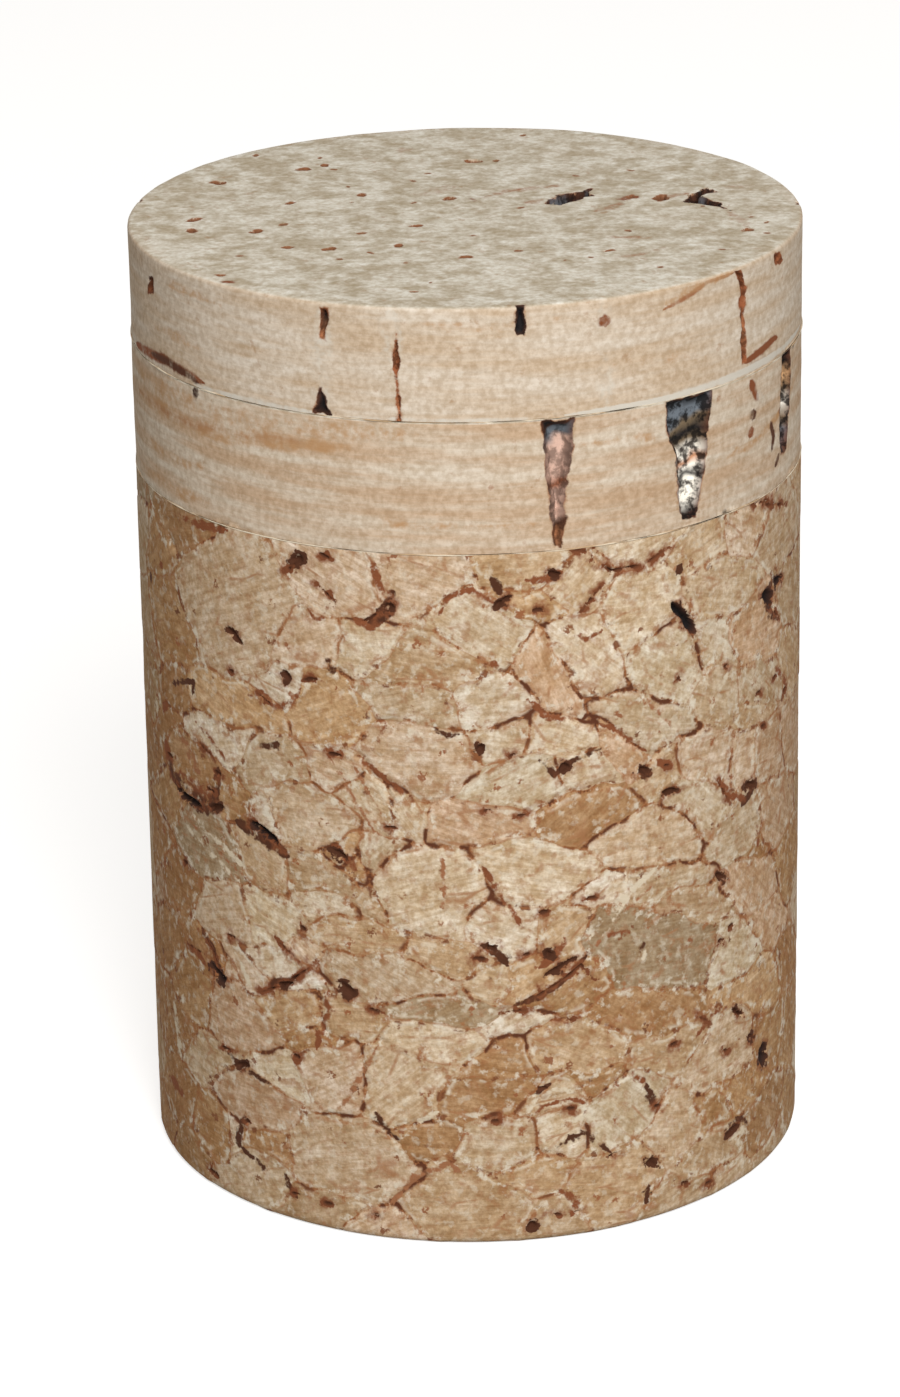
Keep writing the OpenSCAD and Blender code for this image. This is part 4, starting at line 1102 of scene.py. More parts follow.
def stroked(shell: Shell, points: Array, strokes: list[Stroke]) -> Array:
    """Works out what strokes leave on points of a shell.

    Args:
        shell: the shell that is marked.
        points: places on it.
        strokes: the strokes, the lowest layer first.

    Returns:
        The linear colour of each point, and its cover as a fourth value.
    """
    stain, views = np.zeros((len(points), 4)), shell.views(points)
    patchy = 0.75 + 0.35 * ripple(points, 0.9, 12)
    for stroke in strokes:
        chart, shows = views[stroke.on_end]
        near = near_path(chart, stroke.path, 2 * stroke.width)
        near = near[shows[near]]
        far, place = path_distance(chart[near], stroke.path)
        taper = np.sqrt(np.clip(1 - (2 * place - 1) ** 4, 0.05, 1))
        cover = stroke.strength * (1 - ease(far / (stroke.width * taper), 0.3, 1))
        cover = np.clip(cover * patchy[near], 0, 1)
        share = cover / np.maximum(np.maximum(stain[near, 3], cover), 1e-6)
        share[stain[near, 3] == 0] = 1
        stain[near, :3] = blend(stain[near, :3], linear(stroke.mark.value), share)
        stain[near, 3] = np.maximum(stain[near, 3], cover)
    return stain


class Wiring:
    """Adds nodes to a node tree and joins them."""

    def __init__(self, tree: NodeTree) -> None:
        """Keeps the tree that the nodes go into."""
        self.tree = tree

    def add(self, kind: str, inputs: dict | None = None, **settings: object) -> Node:
        """Adds a node.

        Args:
            kind: Blender's name for the kind of node.
            inputs: a value or another node's output socket for each input, by its name
                or number.
            settings: the node's own properties.

        Returns:
            The new node.
        """
        node = self.tree.nodes.new(kind)
        for name, value in settings.items():
            setattr(node, name, value)
        for key, value in (inputs or {}).items():
            if isinstance(value, Socket):
                self.tree.links.new(value, node.inputs[key])
            else:
                node.inputs[key].default_value = value
        return node

    def calc(self, operation: str, first: Socket | float, second: Socket | float) -> Socket:
        """Adds a math node and gives its result."""
        return self.add("ShaderNodeMath", {0: first, 1: second}, operation=operation).outputs[0]

    def ranged(self, value: Socket, start: float, end: float, low: float = 0,
               high: float = 1) -> Socket:
        """Runs smoothly from low to high while the value goes from start to end."""
        return self.add("ShaderNodeMapRange", {
            "Value": value, "From Min": start, "From Max": end, "To Min": low, "To Max": high},
            interpolation_type="SMOOTHSTEP").outputs[0]

    def mix(self, share: Socket | float, first: Socket | tuple, second: Socket | tuple,
            way: str = "MIX") -> Socket:
        """Mixes two colours."""
        return self.add("ShaderNodeMix", {0: share, 6: first, 7: second}, data_type="RGBA",
                        blend_type=way, clamp_result=False).outputs[2]

    def seen(self) -> Socket:
        """Gives 1 to what the camera sees, straight or in a mirror or glass, and 0 elsewhere."""
        path = self.add("ShaderNodeLightPath").outputs
        return self.calc("MAXIMUM", path["Is Camera Ray"],
                         self.calc("MAXIMUM", path["Is Glossy Ray"], path["Is Transmission Ray"]))


class Skin(Wiring):
    """A material in the making: its nodes and its Principled shader."""

    def __init__(self, name: str) -> None:
        """Makes the material, with an empty shader.

        Args:
            name: the material's name.
        """
        self.material = bpy.data.materials.new(name)
        self.material.use_nodes = True
        self.material.node_tree.nodes.clear()
        super().__init__(self.material.node_tree)
        self.shader = self.add("ShaderNodeBsdfPrincipled")
        self.add("ShaderNodeOutputMaterial", {"Surface": self.shader.outputs[0]})
        source = self.add("ShaderNodeTexCoord").outputs["Object"]
        self.place = self.add("ShaderNodeVectorMath", {0: source, "Scale": 1 / MM},
                              operation="SCALE").outputs[0]

    def close(self, colour: Socket, grit: Socket, relief: tuple[float, float], roughness: float,
              specular: float = 0.2) -> Material:
        """Gives the shader its colour and its fine relief.

        Args:
            colour: the colour of the skin.
            grit: how high the skin stands.
            relief: the strength of the grit, and its depth in millimetres.
            roughness: the roughness of the skin.
            specular: how much it shines.

        Returns:
            The finished material.
        """
        strength, depth = relief
        bump = self.add("ShaderNodeBump", {
            "Strength": strength, "Distance": depth * MM, "Height": grit})
        self.shader.inputs["Roughness"].default_value = roughness
        self.shader.inputs["Specular IOR Level"].default_value = specular
        self.tree.links.new(colour, self.shader.inputs["Base Color"])
        self.tree.links.new(bump.outputs[0], self.shader.inputs["Normal"])
        return self.material

    def attribute(self, name: str, output: str = "Fac") -> Socket:
        """Reads an attribute of the mesh."""
        return self.add("ShaderNodeAttribute", attribute_name=name).outputs[output]

    def noise(self, scale: float, detail: float, stretch: Triple = (1, 1, 1),
              shift: Triple = (0, 0, 0), place: Socket | None = None) -> Socket:
        """Adds noise.

        Args:
            scale: swings of the noise per millimetre.
            detail: how many finer layers it has.
            stretch: what each axis is multiplied by.
            shift: how far it is moved along each axis.
            place: where it is read, if not at the place on the piece in millimetres.

        Returns:
            The value of the noise.
        """
        moved = self.add("ShaderNodeMapping", {
            "Vector": place or self.place, "Location": shift, "Scale": stretch}).outputs[0]
        return self.add("ShaderNodeTexNoise", {
            "Vector": moved, "Scale": scale, "Detail": detail, "Roughness": 0.6}).outputs[0]

    def toned(self, colour: Socket, share: Socket, low: Triple, high: Triple) -> Socket:
        """Multiplies a colour by one between low and high, by a share."""
        return self.mix(1, colour, self.mix(share, (*low, 1), (*high, 1)), "MULTIPLY")

    def stained(self, colour: Socket, swing: float, faint: float, full: float) -> Socket:
        """Lays the mesh's stains over a colour; on the outer disc these take in pale joint lines that
        are partly painted highlight.

        Args:
            colour: the colour of the skin.
            swing: how much noise is added to the cover of a stain.
            faint: the cover that is too faint to show.
            full: the cover that hides the skin.

        Returns:
            The colour with the stains in it.
        """
        alpha = self.attribute("stain", "Alpha")
        noise = self.calc("SUBTRACT", self.noise(2.8, 5, shift=(1, 6, 4)), 0.5)
        cover = self.calc("ADD", alpha, self.calc("MULTIPLY", noise, swing))
        cover = self.calc("MINIMUM", cover, self.calc("MULTIPLY", alpha, 3))
        return self.mix(self.ranged(cover, faint, full), colour, self.attribute("stain", "Color"))

    def opened(self, colour: Socket, lip: Mark, lip_reach: float, fray: float) -> Socket:
        """Draws pits and channels from the gap and inside attributes of the mesh.

        Args:
            colour: the colour of the skin round them.
            lip: the colour of their lips.
            lip_reach: how far the lips run out, in millimetres.
            fray: how far their edges wander, in millimetres.

        Returns:
            The colour with the openings in it, ragged at their edges.
        """
        swing = self.calc("SUBTRACT", self.noise(2, 5, shift=(8, 8, 1)), 0.5)
        edge = self.calc("ADD", self.attribute("gap"), self.calc("MULTIPLY", swing, fray))
        patchy = self.ranged(self.noise(1.1, 3, shift=(6, 2, 6)), 0.42, 0.6, 0.15, 1)
        cover = self.calc("MULTIPLY", self.ranged(edge, 0.02, lip_reach, 0.9, 0), patchy)
        colour = self.mix(cover, colour, rgba(lip.value))
        fleck = self.ranged(self.noise(2.2, 3, shift=(3, 8, 2)), 0.4, 0.6)
        fleck = self.mix(fleck, (0.14, 0.13, 0.13, 1), (1.7, 1.75, 1.8, 1))
        fleck = self.mix(self.attribute("inside", "Alpha"), (1, 1, 1, 1), fleck)
        shown = self.mix(1, self.attribute("inside", "Color"), fleck, "MULTIPLY")
        return self.mix(self.ranged(edge, -0.01, 0.06, 1, 0), colour, shown)


@dataclass(frozen=True)
class GranulatedFinish:
    """The ground skin of pressed cork granules, with the binder dark in their seams."""

    seam_w: float = 0.07
    deep_seam_w: float = 0.17
    dot_r: float = 0.17
    roughness: float = 0.88
    stain: Triple = (158, 104, 64)
    bloom: Triple = (232, 222, 202)
    # A painted highlight for the rims of some granules
    glint: Triple = (230, 218, 196)
    split: Triple = (166, 116, 78)
    halo: Triple = (170, 118, 78)
    knot: Triple = (120, 70, 42)
    dots: tuple[Triple, Triple] = ((158, 98, 62), (104, 62, 40))
    binder: tuple[Triple, Triple] = ((158, 102, 62), (94, 52, 32))

    def make(self) -> Material:
        """Builds the material from the attributes of the mesh.

        Returns:
            The new material.
        """
        w = Skin("agglomerated cork skin")
        grain = w.add("ShaderNodeUVMap", uv_map="grain").outputs[0]
        seam = w.attribute("seam")
        colour = w.attribute("tint", "Color")
        # Streaks, blotches and fibres along the grain, and fine mottle all over
        streak = w.ranged(w.noise(1, 4, stretch=(0.6, 3, 1), place=grain), 0.3, 0.7)
        blotch = w.ranged(w.noise(0.55, 3, shift=(3, 5, 0), place=grain), 0.35, 0.65)
        mottle = w.ranged(w.noise(1.7, 3), 0.36, 0.64)
        speck = w.ranged(w.noise(5, 2), 0.3, 0.7)
        fibre = w.ranged(w.noise(1, 3, (0.5, 6, 1), (2, 2, 0), grain), 0.3, 0.7)
        for share, low, high in (
                (streak, (0.86, 0.80, 0.73), (1.09, 1.10, 1.12)),
                (blotch, (0.90, 0.84, 0.76), (1.06, 1.08, 1.12)),
                (mottle, (0.88, 0.81, 0.72), (1.10, 1.13, 1.18)),
                (speck, (0.86, 0.82, 0.77), (1.10, 1.12, 1.14)),
                (fibre, (0.90, 0.86, 0.81), (1.07, 1.08, 1.10))):
            colour = w.toned(colour, share, low, high)
        # Brown and pale spots, most of them beside a seam
        beside = w.ranged(seam, 0, 0.8, 1, 0.4)
        for size, shift, most, spot in ((1.9, (7, 3, 1), 0.9, self.stain),
                                        (2.2, (2, 9, 5), 0.85, self.bloom)):
            cover = w.ranged(w.noise(size, 5, shift=shift), 0.52, 0.66, 0, most)
            colour = w.mix(w.calc("MULTIPLY", cover, beside), colour, rgba(spot))
        # Round brown dots
        dots = w.add("ShaderNodeTexVoronoi", {
            "Vector": w.place, "Scale": 0.9, "Randomness": 1}).outputs
        chosen = w.add("ShaderNodeSeparateColor", {0: dots["Color"]}).outputs
        size = w.ranged(chosen[0], 0.3, 1, 0, self.dot_r)
        far = w.calc("ADD", dots["Distance"], w.ranged(speck, 0, 1, -0.12, 0.12))
        dot = w.ranged(w.calc("SUBTRACT", far, size), -0.08, 0.05, 0.9, 0)
        colour = w.mix(dot, colour, w.mix(chosen[1], *map(rgba, self.dots)))
        # Painted highlights on the rims of some granules, where their edges catch the light
        lit = w.calc("MULTIPLY", w.ranged(seam, 0.1, 0.2, 0, 1), w.ranged(seam, 0.2, 0.4, 1, 0))
        shown = w.ranged(w.noise(1.2, 2, shift=(5, 8, 3)), 0.5, 0.6, 0, 0.55)
        colour = w.mix(w.calc("MULTIPLY", lit, shown), colour, rgba(self.glint))
        # Fine splits along the grain
        long = w.add("ShaderNodeMapping", {"Vector": grain, "Scale": (0.35, 0.9, 1)}).outputs[0]
        split = w.add("ShaderNodeTexVoronoi", {"Vector": long, "Scale": 1},
                      feature="DISTANCE_TO_EDGE").outputs["Distance"]
        shown = w.ranged(w.noise(0.8, 4, shift=(9, 2, 7)), 0.48, 0.66, 0, 0.75)
        cover = w.calc("MULTIPLY", w.ranged(split, 0.01, 0.07, 1, 0), shown)
        colour = w.mix(cover, colour, rgba(self.split))
        # Brown beside the binder's lines, and knots on them
        broken = w.ranged(w.noise(1.1, 5, shift=(1, 4, 2)), 0.42, 0.6, 0.04, 1)
        drawn = w.calc("MULTIPLY", broken, w.ranged(w.attribute("strength"), 0, 0.6, 0.2, 1))
        width = w.ranged(drawn, 0, 1, self.seam_w, self.deep_seam_w)
        sway = w.calc("SUBTRACT", w.noise(3, 3, shift=(4, 4, 9)), 0.5)
        near = w.calc("DIVIDE", w.calc("ADD", seam, w.calc("MULTIPLY", sway, 0.16)), width)
        halo = w.calc("MULTIPLY", w.ranged(near, 0, 4, 0.45, 0), drawn)
        colour = w.mix(halo, colour, rgba(self.halo))
        knot = w.ranged(w.noise(1.5, 5, shift=(6, 1, 9)), 0.56, 0.64, 0, 0.95)
        knot = w.calc("MULTIPLY", knot, w.ranged(seam, 0.08, 0.24, 1, 0))
        colour = w.mix(knot, colour, rgba(self.knot))
        # The binder in the seams
        line = w.calc("MULTIPLY", w.ranged(near, 0.2, 1, 1, 0), w.ranged(drawn, 0, 0.5, 0.2, 1))
        binder = w.mix(w.ranged(drawn, 0.3, 0.9), *map(rgba, self.binder))
        colour = w.mix(line, colour, binder)
        colour = w.opened(w.stained(colour, 2, 0.3, 0.7), RUST, 0.4, 1.4)
        grit = w.calc("ADD", w.noise(7, 3), w.calc("MULTIPLY", streak, 0.5))
        return w.close(colour, grit, (0.5, 0.05), self.roughness)


@dataclass(frozen=True)
class NaturalFinish:
    """Ground natural cork: growth lines round the side and a mottled, pored face."""

    name: str
    side: Triple
    bands: Triple
    # The face is greyer and cooler than the side: partly the cork's end grain, partly painted cooler
    # light from above
    face: Triple = (234, 229, 216)
    face_shade: Triple = (192, 179, 156)
    brown: Triple = (168, 126, 88)
    roughness: float = 0.86
    shift: float = 0

    def make(self, top: float) -> Material:
        """Builds the material.

        Args:
            top: the height above which the face's colour shows, in millimetres.

        Returns:
            The material, which reads the stain attribute of the mesh.
        """
        w = Skin(self.name)
        moved = (self.shift, self.shift * 2, self.shift)
        lines = w.ranged(w.noise(1, 5, (0.12, 0.12, 1.3), moved), 0.34, 0.66)
        fine = w.ranged(w.noise(1, 3, (0.6, 0.6, 4.5), moved), 0.3, 0.7)
        side = w.toned(w.mix(lines, rgba(self.bands), rgba(self.side)), fine,
                       (0.94, 0.92, 0.89), (1.03, 1.04, 1.05))
        mottle = w.ranged(w.noise(0.9, 5, shift=moved), 0.34, 0.66)
        fibre = w.ranged(w.noise(1, 4, (1.5, 2.2, 1), moved), 0.3, 0.7)
        face = w.toned(w.mix(mottle, rgba(self.face_shade), rgba(self.face)), fibre,
                       (0.93, 0.92, 0.89), (1.05, 1.05, 1.06))
        # The face's greyer, cooler colours take over at the top, partly as painted cooler light from
        # above
        height = w.add("ShaderNodeSeparateXYZ", {0: w.place}).outputs[2]
        colour = w.mix(w.ranged(height, top - 0.12, top - 0.02), side, face)
        speck = w.ranged(w.noise(3.2, 4), 0.3, 0.7)
        colour = w.toned(colour, speck, (0.84, 0.79, 0.73), (1.1, 1.12, 1.15))
        brown = w.ranged(w.noise(1.6, 4, shift=(4, 1, 6)), 0.62, 0.74, 0, 0.5)
        colour = w.mix(brown, colour, rgba(self.brown))
        colour = w.opened(w.stained(colour, 1, 0.1, 0.72), CLAY, 0.12, 0.36)
        grit = w.calc("ADD", w.noise(4, 3), w.calc("MULTIPLY", fine, 0.4))
        return w.close(colour, grit, (0.4, 0.04), self.roughness)


@dataclass(frozen=True)
class GlueFinish:
    """The thin film of glue at a joint, pale where it stands clean and brown elsewhere."""

    pale: Triple = (226, 212, 188)
    brown: Triple = (188, 158, 122)
    roughness: float = 0.7

    def make(self) -> Material:
        """Builds the material.

        Returns:
            The new material.
        """
        w = Skin("joint glue")
        colour = w.mix(w.ranged(w.noise(0.5, 3), 0.4, 0.56), rgba(self.brown), rgba(self.pale))
        return w.close(colour, w.noise(8, 2), (0.3, 0.03), self.roughness, specular=0.5)


class ModifierTree:
    """A Geometry Nodes tree with named inputs, and what it makes of a piece."""

    def __init__(self, name: str, sizes: dict[str, float]) -> None:
        """Starts the tree.

        Args:
            name: the tree's name.
            sizes: a name and value for each size that the tree takes.
        """
        self.sizes = sizes
        self.tree = bpy.data.node_groups.new(name, "GeometryNodeTree")
        self.wiring = Wiring(self.tree)
        kinds = {"Geometry": "NodeSocketGeometry", "Skin": "NodeSocketMaterial"}
        kinds.update(dict.fromkeys(sizes, "NodeSocketFloat"))
        face = self.tree.interface
        self.sockets = {key: face.new_socket(key, in_out="INPUT", socket_type=kind)
                        for key, kind in kinds.items()}
        face.new_socket("Geometry", in_out="OUTPUT", socket_type="NodeSocketGeometry")
        self.given = self.tree.nodes.new("NodeGroupInput").outputs

    def close(self, geometry: Socket) -> None:
        """Ends the tree with real geometry in the given skin.

        Args:
            geometry: what the tree has made.
        """
        real = self.wiring.add("GeometryNodeRealizeInstances", {0: geometry}).outputs[0]
        dressed = self.wiring.add("GeometryNodeSetMaterial",
                                  {"Geometry": real, "Material": self.given["Skin"]}).outputs[0]
        self.wiring.add("NodeGroupOutput", {0: dressed})

    def apply_to(self, piece: Object, skin: Material) -> None:
        """Runs the tree on a piece and keeps the result as its plain mesh.

        Args:
            piece: the piece, whose mesh is replaced.
            skin: the material that the tree sets.
        """
        modifier = piece.modifiers.new(self.tree.name, "NODES")
        modifier.node_group = self.tree
        modifier[self.sockets["Skin"].identifier] = skin
        for size, value in self.sizes.items():
            modifier[self.sockets[size].identifier] = value
        graph = bpy.context.evaluated_depsgraph_get()
        made = bpy.data.meshes.new_from_object(piece.evaluated_get(graph),
                                               preserve_all_data_layers=True, depsgraph=graph)
        old = piece.data
        piece.modifiers.clear()
        made.name = piece.name
        piece.data = made
        bpy.data.meshes.remove(old)


def relief_tree(groove_depth: float, swell: float, groove_reach: float = 0.26) -> ModifierTree:
    """Builds the tree that sinks seams and openings into a skin, and lifts granules.

    Args:
        groove_depth: the depth of the deepest seam, in millimetres.
        swell: how far the highest granule stands over the lowest one, in millimetres.
        groove_reach: how far beside a seam the skin starts to sink, in millimetres.

    Returns:
        The tree, which reads the seam, strength, depth and level attributes.
    """
    made = ModifierTree("skin relief", {"Groove Depth": groove_depth, "Swell": swell})
    w, given = made.wiring, made.given

    def named(name: str) -> Socket:
        """Reads an attribute of the mesh."""
        return w.add("GeometryNodeInputNamedAttribute", {"Name": name},
                     data_type="FLOAT").outputs[0]

    groove = w.calc("MULTIPLY", w.ranged(named("seam"), 0, groove_reach, 1, 0), named("strength"))
    groove = w.calc("MULTIPLY", groove, given["Groove Depth"])
    level = w.calc("MULTIPLY", named("level"), given["Swell"])
    sunk = w.calc("SUBTRACT", w.calc("SUBTRACT", level, named("depth")), groove)
    offset = w.add("ShaderNodeVectorMath", {
        0: w.add("GeometryNodeInputNormal").outputs[0],
        "Scale": w.calc("MULTIPLY", sunk, MM)}, operation="SCALE").outputs[0]
    made.close(w.add("GeometryNodeSetPosition", {
        "Geometry": given["Geometry"], "Offset": offset}).outputs[0])
    return made


def shell_piece(name: str, shell: Shell, values: dict[str, Array]) -> Object:
    """Makes a piece from a shell.

    Args:
        name: the piece's name.
        shell: its points and triangles.
        values: an attribute for each name: one value or one colour for each point,
            one colour for each triangle, or one UV place for each corner.

    Returns:
        The new object, in the scene, at the origin.
    """
    mesh = bpy.data.meshes.new(name)
    mesh.from_pydata((shell.points * MM).tolist(), [], shell.faces.tolist())
    mesh.shade_smooth()
    for key, value in values.items():
        if value.ndim == 1:
            layer, part = mesh.attributes.new(key, "FLOAT", "POINT"), "value"
        elif value.shape[1] == 2:
            layer, part = mesh.uv_layers.new(name=key), "uv"
        else:
            domain = "POINT" if len(value) == len(shell.points) else "FACE"
            layer, part = mesh.attributes.new(key, "FLOAT_COLOR", domain), "color"
        layer.data.foreach_set(part, value.astype(np.float32).ravel())
    return linked(bpy.data.objects.new(name, mesh))


def linked(item: Object) -> Object:
    """Puts an object in the scene."""
    bpy.context.scene.collection.objects.link(item)
    return item


def seat(piece: Object, slot: str, *nodes: str) -> None:
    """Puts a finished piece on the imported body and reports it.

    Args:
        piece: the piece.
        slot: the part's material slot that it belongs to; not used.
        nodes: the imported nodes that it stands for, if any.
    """
    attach(piece, "root")
    if nodes:
        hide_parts(*nodes)
    log.info("%s: %d triangles, stands for %s", piece.name, len(piece.data.polygons),
             ", ".join(nodes) or "nothing")


@dataclass
class AgglomerateBody:
    """The body of pressed granules, from its foot to the first glued joint."""

    foot_edge: float = 0.4
    spacing: float = 0.36
    foot_spacing: float = 0.5
    joint_spacing: float = 3.0
    seam_band: float = 0.15
    opening_band: float = 0.3
    lip_band: float = 0.13
    stroke_band: float = 0.1
    clearance: float = 0.1
    rim_band: float = 2.2
    groove_depth: float = 0.11
    swell: float = 0.04
    pit_depth: float = 0.5
    small_pit: float = 0.8
    pinhole_depth: float = 0.12
    crack_depth: float = 0.4
    front_edge: float = 82
    back_row_h: float = 4.4
    back_granule_w: float = 5.4
    foot_row: float = 4.2
    foot_stretch: tuple[float, float] = (1.1, 0.85)
    # Reach and size of each layer of the seams' wander, and the seeds of its two directions
    wander: tuple = ((0.42, 2.2, (21, 23)), (0.16, 0.8, (22, 24)), (0.07, 0.35, (27, 28)))
    finish: GranulatedFinish = GranulatedFinish()
    side: Mosaic = field(init=False)
    foot: Mosaic = field(init=False)
    shell: Shell = field(init=False)

    def side_granules(self) -> list[Granule]:
        """Lists the granules of the side.

        Returns:
            Those of the front, and staggered rows behind.
        """
        made = [Granule.on_side(*row) for row in FRONT_GRANULES]
        rows = math.ceil(BODY_TOP / self.back_row_h)
        span = 360 - 2 * self.front_edge
        columns = round(arc(span) / self.back_granule_w)
        for row, column in itertools.product(range(rows), range(columns)):
            n = row * columns + column
            stagger = row % 2 / 2 + between(-0.3, 0.3, n + 0.5)
            angle = self.front_edge + (column + 0.25 + stagger) * span / columns
            height = (row + 0.5 + between(-0.3, 0.3, n + 100)) * self.back_row_h
            made.append(Granule.on_side(angle, height, between(3.6, 7, n + 200),
                                        between(2.4, 4, n + 300), scattered_tint(n + 500),
                                        between(-40, 40, n + 400)))
            if scatter(n + 600) > 0.45:
                made.append(Granule.on_side(
                    angle + span / columns / 2, height + between(-1, 1, n + 700) * 2,
                    between(1.2, 3, n + 800), between(1, 1.8, n + 900),
                    scattered_tint(n + 1100), between(-60, 60, n + 1000)))
        return made

    def foot_granules(self) -> list[Granule]:
        """Lists the granules that the ground foot cuts through.

        Returns:
            The granules, with their places right of the axis and behind it.
        """
        made = []
        wide, high = self.foot_stretch
        count = math.ceil(CORK_R / self.foot_row) + 1
        for row, column in itertools.product(range(-count, count + 1), repeat=2):
            n = 2000 + (row + count) * 20 + column + count
            along = (column + row % 2 / 2 + between(-0.3, 0.3, n)) * self.foot_row * wide
            height = (row + between(-0.3, 0.3, n + 100.5)) * self.foot_row * high
            made.append(Granule(along, height, between(2.6, 6.4, n + 200), between(2, 3.8, n + 300),
                                scattered_tint(n + 500), between(-90, 90, n + 400)))
        return made

    def openings(self) -> list[Opening]:
        """Lists the pits, pinholes and cracks.

        Returns:
            The openings, all of the side.
        """
        made = []
        for angle, height, length, width, *tilt in PITS:
            large = length * width > self.small_pit
            made.append(Pit(arc(angle), height, self.pit_depth * (1 if large else 0.5),
                            NIGHT if large else DARK, rim=DARK, slope=0.4 * width,
                            length=0.9 * length, width=0.8 * width, tilt=sum(tilt)))
        made += [Pit(arc(angle), height, self.pinhole_depth, DARK, slope=0.3 * width,
                     length=length, width=0.7 * width, tilt=sum(tilt))
                 for angle, height, length, width, *tilt in PINHOLES]
        return made + [Crack.traced(side_path(bends), self.crack_depth, PITCH, width=width)
                       for width, *bends in CRACKS]

    def sort(self, points: Array) -> tuple[Array, Array, Array]:
        """Finds the granule and the nearest seam of each point.

        Args:
            points: places on the body's shell.

        Returns:
            The number of the granule, the number of its nearest neighbour, and the
            distance to the seam between them. Numbers run on from the side to the foot.
        """
        waver = np.stack([sum(reach * ripple(points, size, seeds[way])
                              for reach, size, seeds in self.wander) for way in (0, 1)], axis=1)
        own, other, distance = self.side.cells(self.shell.chart(points) + waver)
        radius = np.hypot(points[:, 0], points[:, 1])
        below = np.nonzero((points[:, 2] < 0.001) & (radius < CORK_R - self.foot_edge))[0]
        first = len(self.side.granules)
        foot_own, foot_other, foot_distance = self.foot.cells(points[below, :2] + waver[below])
        inside = CORK_R - self.rim_band + 1.1 * ripple(points[below], 3, 25) - radius[below]
        on_foot = inside > 0
        held, kept = below[on_foot], below[~on_foot]
        distance[kept] = np.minimum(distance[kept], -inside[~on_foot])
        border = inside[on_foot] < foot_distance[on_foot]
        other[held] = np.where(border, own[held], foot_other[on_foot] + first)
        own[held] = foot_own[on_foot] + first
        distance[held] = np.minimum(foot_distance[on_foot], inside[on_foot])
        return own, other, distance

    def seam_strength(self, own: Array, other: Array) -> Array:
        """Works out how deep and dark the seam beside each point is.

        Args:
            own: the number of the granule at each point.
            other: the number of its nearest neighbour.

        Returns:
            The strength of the seam, from 0 to 1.
        """
        pair = np.sin(np.minimum(own, other) * FIRST_TURN + np.maximum(own, other) * SECOND_TURN)
        chance = pair * STRETCH - np.floor(pair * STRETCH)
        strength = 0.03 + 0.45 * chance**2 + 0.2 * ripple(self.shell.points, 1.1, 26)
        chart = self.shell.chart(self.shell.points)
        for bends in DARK_SEAMS:
            path = side_path(bends)
            near = near_path(chart, path, 1)
            far, _ = path_distance(chart[near], path)
            strength[near] = np.maximum(strength[near], 0.9 * (1 - ease(far, 0.4, 0.8)))
        return np.clip(strength, 0.04, 1)

    def grain(self, own: Array) -> Array:
        """Lays each granule's own grain direction over its triangles.

        Args:
            own: the number of the granule at each triangle.

        Returns:
            The place of each corner of each triangle in its granule's grain.
        """
        granules = self.side.granules + self.foot.granules
        turn = np.radians([g.tilt + between(-25, 25, n) for n, g in enumerate(granules)])[own]
        middle = np.array([(g.along, g.height) for g in granules])[own]
        start = np.array([(between(0, 90, n + 0.3), between(0, 90, n + 0.6))
                          for n in range(len(granules))])[own]
        corners = self.shell.points[self.shell.faces]
        on_foot = own >= len(self.side.granules)
        places = []
        for corner in range(3):
            place = self.shell.chart(corners[:, corner])
            place[on_foot] = corners[on_foot, corner, :2]
            way = place - middle
            way = np.where(on_foot[:, None], way, wrapped(way))
            places.append(np.stack([
                way[:, 0] * np.cos(turn) + way[:, 1] * np.sin(turn) + start[:, 0],
                way[:, 1] * np.cos(turn) - way[:, 0] * np.sin(turn) + start[:, 1]], axis=1))
        return np.stack(places, axis=1).reshape(-1, 2)

    def shape(self, openings: list[Opening], strokes: list[Stroke]) -> None:
        """Shapes the body's shell, finer at its seams, openings and strokes.

        Args:
            openings: the body's openings.
            strokes: its strokes.
        """
        steps = (self.foot_spacing, self.spacing, self.joint_spacing)
        self.shell = shell = Shell.turned(
            turned_profile(0, BODY_TOP, (self.foot_edge, JOINT_EDGE), steps))
        middles = shell.middles()
        _, _, distance = self.sort(middles)
        gap, _, _ = opened_skin(shell, middles, openings)
        below_joint = middles[:, 2] < BODY_TOP - shell.end_slack
        shell.refine(below_joint & ((distance < self.seam_band) | (gap < self.opening_band)))
        shell.refine(stroke_gap(shell, shell.middles(), strokes) < self.stroke_band)
        gap, _, _ = opened_skin(shell, shell.middles(), openings)
        shell.refine((gap < self.lip_band) & (gap > -self.opening_band))

